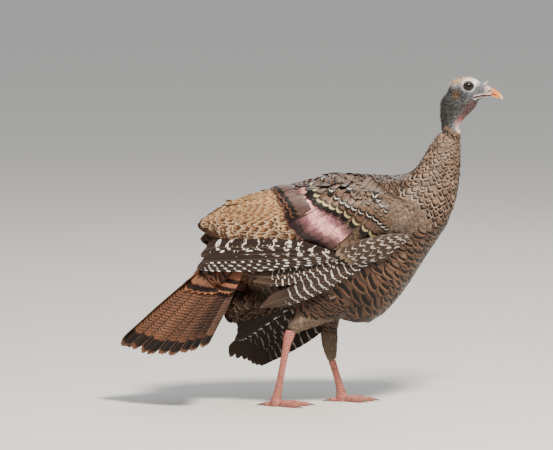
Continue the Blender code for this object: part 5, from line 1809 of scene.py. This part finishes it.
# bristles and the ring of small neck feathers
bristles = {  # gap, tries, length, half width, way they point, depth of root and tip, two colours to mix
    "nape": (0.0015, 14000, 0.0070, 0.00034, (-0.75, 0, -0.65), (0.0, 0.0036), ("#131517", "#56554e")),
    "crown": (0.0026, 4000, 0.0058, 0.00036, (-0.75, 0, 0.55), (0.0, 0.0040), ("#f0d6a4", "#a8743c")),
    "ear": (0.0009, 2500, 0.0034, 0.00026, (-0.85, 0, -0.5), (0.0, 0.0009), ("#a06a3c", "#d3a070")),
    "collar": (0.0026, 6000, 0.0120, 0.0028, (-0.30, 0, -0.95), (0.0002, 0.0030), ("#3d3028", "#7d6656")),
}
bristleShape = {
    **coatShape, "waist": 0.9, "taper": 0.85, "round": 0.0, "ragged": 0.0, "bend": 1.2, "cup": 0.0,
    "thick": 0.00009, "steep": 1.3,
}
bristleSpec = {  # thin stiff filaments, one dull colour each
    "name": "fine dark head bristles", "rough": 0.6, "relief": 0.1, "vary": 0.4, "streak": 0.2,
    "ramp": ((0.0, "#1c1a18", 0.2), (0.9, "#1c1a18", 0.0)),
}


def headFlock(name, mask):
    gap, tries, length, half, way, (low, high), colours = bristles[name]
    gaps = np.full(len(fullHead["faces"]), gap)
    roots, picks = scattered(fullHead["area"] * mask, fullHead["points"], fullHead["faces"], gaps, tries)
    count = len(roots)
    mix = chance.uniform(0, 1, (count, 1))
    return {
        "root": roots,
        "along": unit(np.array(way) + chance.normal(0, 0.16, (count, 3))),
        "normal": fullHead["normal"][picks],
        "length": length * (1 + chance.uniform(-0.3, 0.3, count)),
        "half": half * (1 + chance.uniform(-0.2, 0.2, count)),
        "low": np.full(count, low),
        "high": high * (1 + chance.uniform(-0.4, 0.4, count)),
        "tilt": np.zeros(count),
        "rand": chance.uniform(0, 1, count),
        "tone": np.array(linear(colours[0])) * (1 - mix) + np.array(linear(colours[1])) * mix,
    }


def makeBristles():
    x, z = fullHead["centre"][:, 0], fullHead["centre"][:, 2]
    normal = fullHead["normal"]
    headLow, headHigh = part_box("head")
    neckLow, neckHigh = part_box("neck_bare")
    behind = smoothStep(-normal[:, 0], -0.15, 0.55)
    topside = smoothStep(normal[:, 2], 0.35, 0.8)
    earFar = np.linalg.norm(fullHead["centre"][:, [0, 2]] - earPlace, axis=1)
    masks = {
        "nape": behind * (x < eyeCentre.x) * (z > neckLow.z + 0.004) * (z < headLow.z + 0.030),
        "crown": topside * (z > headHigh.z - 0.012) * smoothStep(-x, -0.325, -0.300),
        "ear": (earFar < 0.0062) * (np.abs(normal[:, 1]) > 0.4),
    }
    flocks = [headFlock(name, mask) for name, mask in masks.items()]
    groups = [coatGroup(flock, smallVane, bristleShape, fullHead["tree"]) for flock in flocks]
    feathersPiece("headBristles", groups, featherMaterial(bristleSpec))
    climb = smoothStep(-(x - neckLow.x) / (neckHigh.x - neckLow.x), -0.62, -0.05)  # higher at the back
    rim = (z > neckLow.z - 0.008) * (z < neckLow.z + 0.006 + 0.020 * climb)
    collar = coatGroup(headFlock("collar", rim), smallVane, coatShape, skinTree)
    feathersPiece("collarFeathers", [collar], coatMaterials["neck"])


makeBristles()
print("bristles and collar done")


# bill, eyes and claws
def hornMaterial(name, rough, streakSize, streakColour):
    # keratin: hard and a little glossy, with fine fibres along the bill or claw
    material, tree, shader = startMaterial(name, {"Roughness": rough, "IOR": 1.54, "Coat Weight": 0.15})
    tone = put(tree, "Attribute", attribute_name="tone")
    place = put(tree, "TexCoord").outputs["Object"]
    fibre = put(tree, "Mapping", {"Vector": place, "Scale": (300, 1600, 1600)})  # about 3 mm by 0.6 mm
    grain = put(tree, "TexNoise", {"Vector": fibre, "Scale": streakSize, "Detail": 3})
    cover = put(tree, "MapRange", (grain, 0.5, 0.75, 0, 0.45))
    streak = (*linear(streakColour), 1)
    colour = put(tree, "Mix", {0: cover, 6: tone, 7: streak}, data_type="RGBA")
    surfaced(tree, shader, colour.outputs[2], grain, 0.35, 0.0003)
    return material


billColours = ((0.0, "#d08f80"), (0.12, "#c97a4c"), (0.40, "#dd8a38"), (0.72, "#eda94c"), (1.0, "#f6dcae"))
billHorn = hornMaterial("yellow brown bill horn", 0.32, 1.0, "#7a4f2c")
stops = np.array([place for place, _ in billColours])
colours = np.array([linear(colour) for _, colour in billColours])
for name in ("bill_upper", "bill_lower"):
    horn = fused("bill" + name[5:].title(), (name,), "bill")
    points, _ = readPoints(horn.data)
    low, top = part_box(name)
    share = np.clip((points[:, 0] - low.x) / (top.x - low.x), 0, 1)
    paintTone(horn.data, np.stack([np.interp(share, stops, colours[:, k]) for k in range(3)], 1))
    horn.data.shade_smooth()
    horn.data.materials.append(billHorn)
    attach(horn, "root")
    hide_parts(name)


eyeLook = {  # where the rings end as shares of the eye's radius, and their colours
    "pupil": 0.50, "iris": 0.86, "pupilColour": "#050404", "irisColour": "#2d140b", "irisEdge": "#120907",
    "rim": "#0b0706",
}


def eyeMaterial():
    # wet dark brown eye: black pupil, brown iris, a clear glossy front
    material, tree, shader = startMaterial("wet brown eye", {
        "Roughness": 0.05, "Specular IOR Level": 0.35, "Coat Weight": 0.15,
    })
    ring = put(tree, "Attribute", attribute_name="ring").outputs["Fac"]
    place = put(tree, "TexCoord").outputs["Object"]
    rays = put(tree, "TexNoise", {"Vector": place, "Scale": 1500, "Detail": 2})
    wobble = put(tree, "Math", (rays, 0.05, ring), operation="MULTIPLY_ADD")
    ramp = put(tree, "ValToRGB", (wobble,))
    pupil, iris = eyeLook["pupil"], eyeLook["iris"]
    paintRamp(ramp.color_ramp, [(where, eyeLook[ringName], 1) for where, ringName in (
        (0.0, "pupilColour"), (pupil, "pupilColour"), (pupil + 0.04, "irisEdge"), (0.66, "irisColour"),
        (iris, "irisEdge"), (1.0, "rim"),
    )])
    tree.links.new(ramp.outputs["Color"], shader.inputs["Base Color"])
    return material


wetEye = eyeMaterial()
for side, sign in sides.items():
    middle = Vector((eyeCentre.x, sign * abs(eyeCentre.y), eyeCentre.z))
    bm = bmesh.new()
    bmesh.ops.create_uvsphere(bm, u_segments=48, v_segments=32, radius=eyeRadius)
    bmesh.ops.rotate(bm, verts=bm.verts, matrix=Matrix.Rotation(math.radians(90), 3, "X"))
    bmesh.ops.translate(bm, verts=bm.verts, vec=middle)
    ball = placed("eyeball_" + side, bm)
    points, _ = readPoints(ball.data)
    mark(ball.data, "ring", np.linalg.norm((points - np.array(middle))[:, [0, 2]], axis=1) / eyeRadius)
    ball.data.shade_smooth()
    ball.data.materials.append(wetEye)
    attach(ball, "root")
    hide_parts("eye_" + side)

clawShadeAndTopLight = ("#4a352a", "#8a6f5e")  # painted light: darker below, paler along the top
clawHorn = hornMaterial("dark claw horn", 0.4, 0.8, "#2a1d16")
for side in sides:
    names = [f"claw_{side}_{toe}" for toe in ("inner", "middle", "outer", "hind")]
    claws = fused("claws_" + side, names, "claws")
    points, normals = readPoints(claws.data)
    points[:, 2] = np.maximum(points[:, 2], 0.0002)
    writePoints(claws.data, points)
    # painted light: the claws paler where they face up, darker where they face down
    pale = smoothStep(normals[:, 2], -0.2, 0.9)[:, None]
    dark, light = (np.array(linear(colour)) for colour in clawShadeAndTopLight)
    paintTone(claws.data, dark * (1 - pale) + light * pale)
    claws.data.shade_smooth()
    claws.data.materials.append(clawHorn)
    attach(claws, "root")
    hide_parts(*names)
print("bill, eyes and claws done")

low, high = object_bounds()
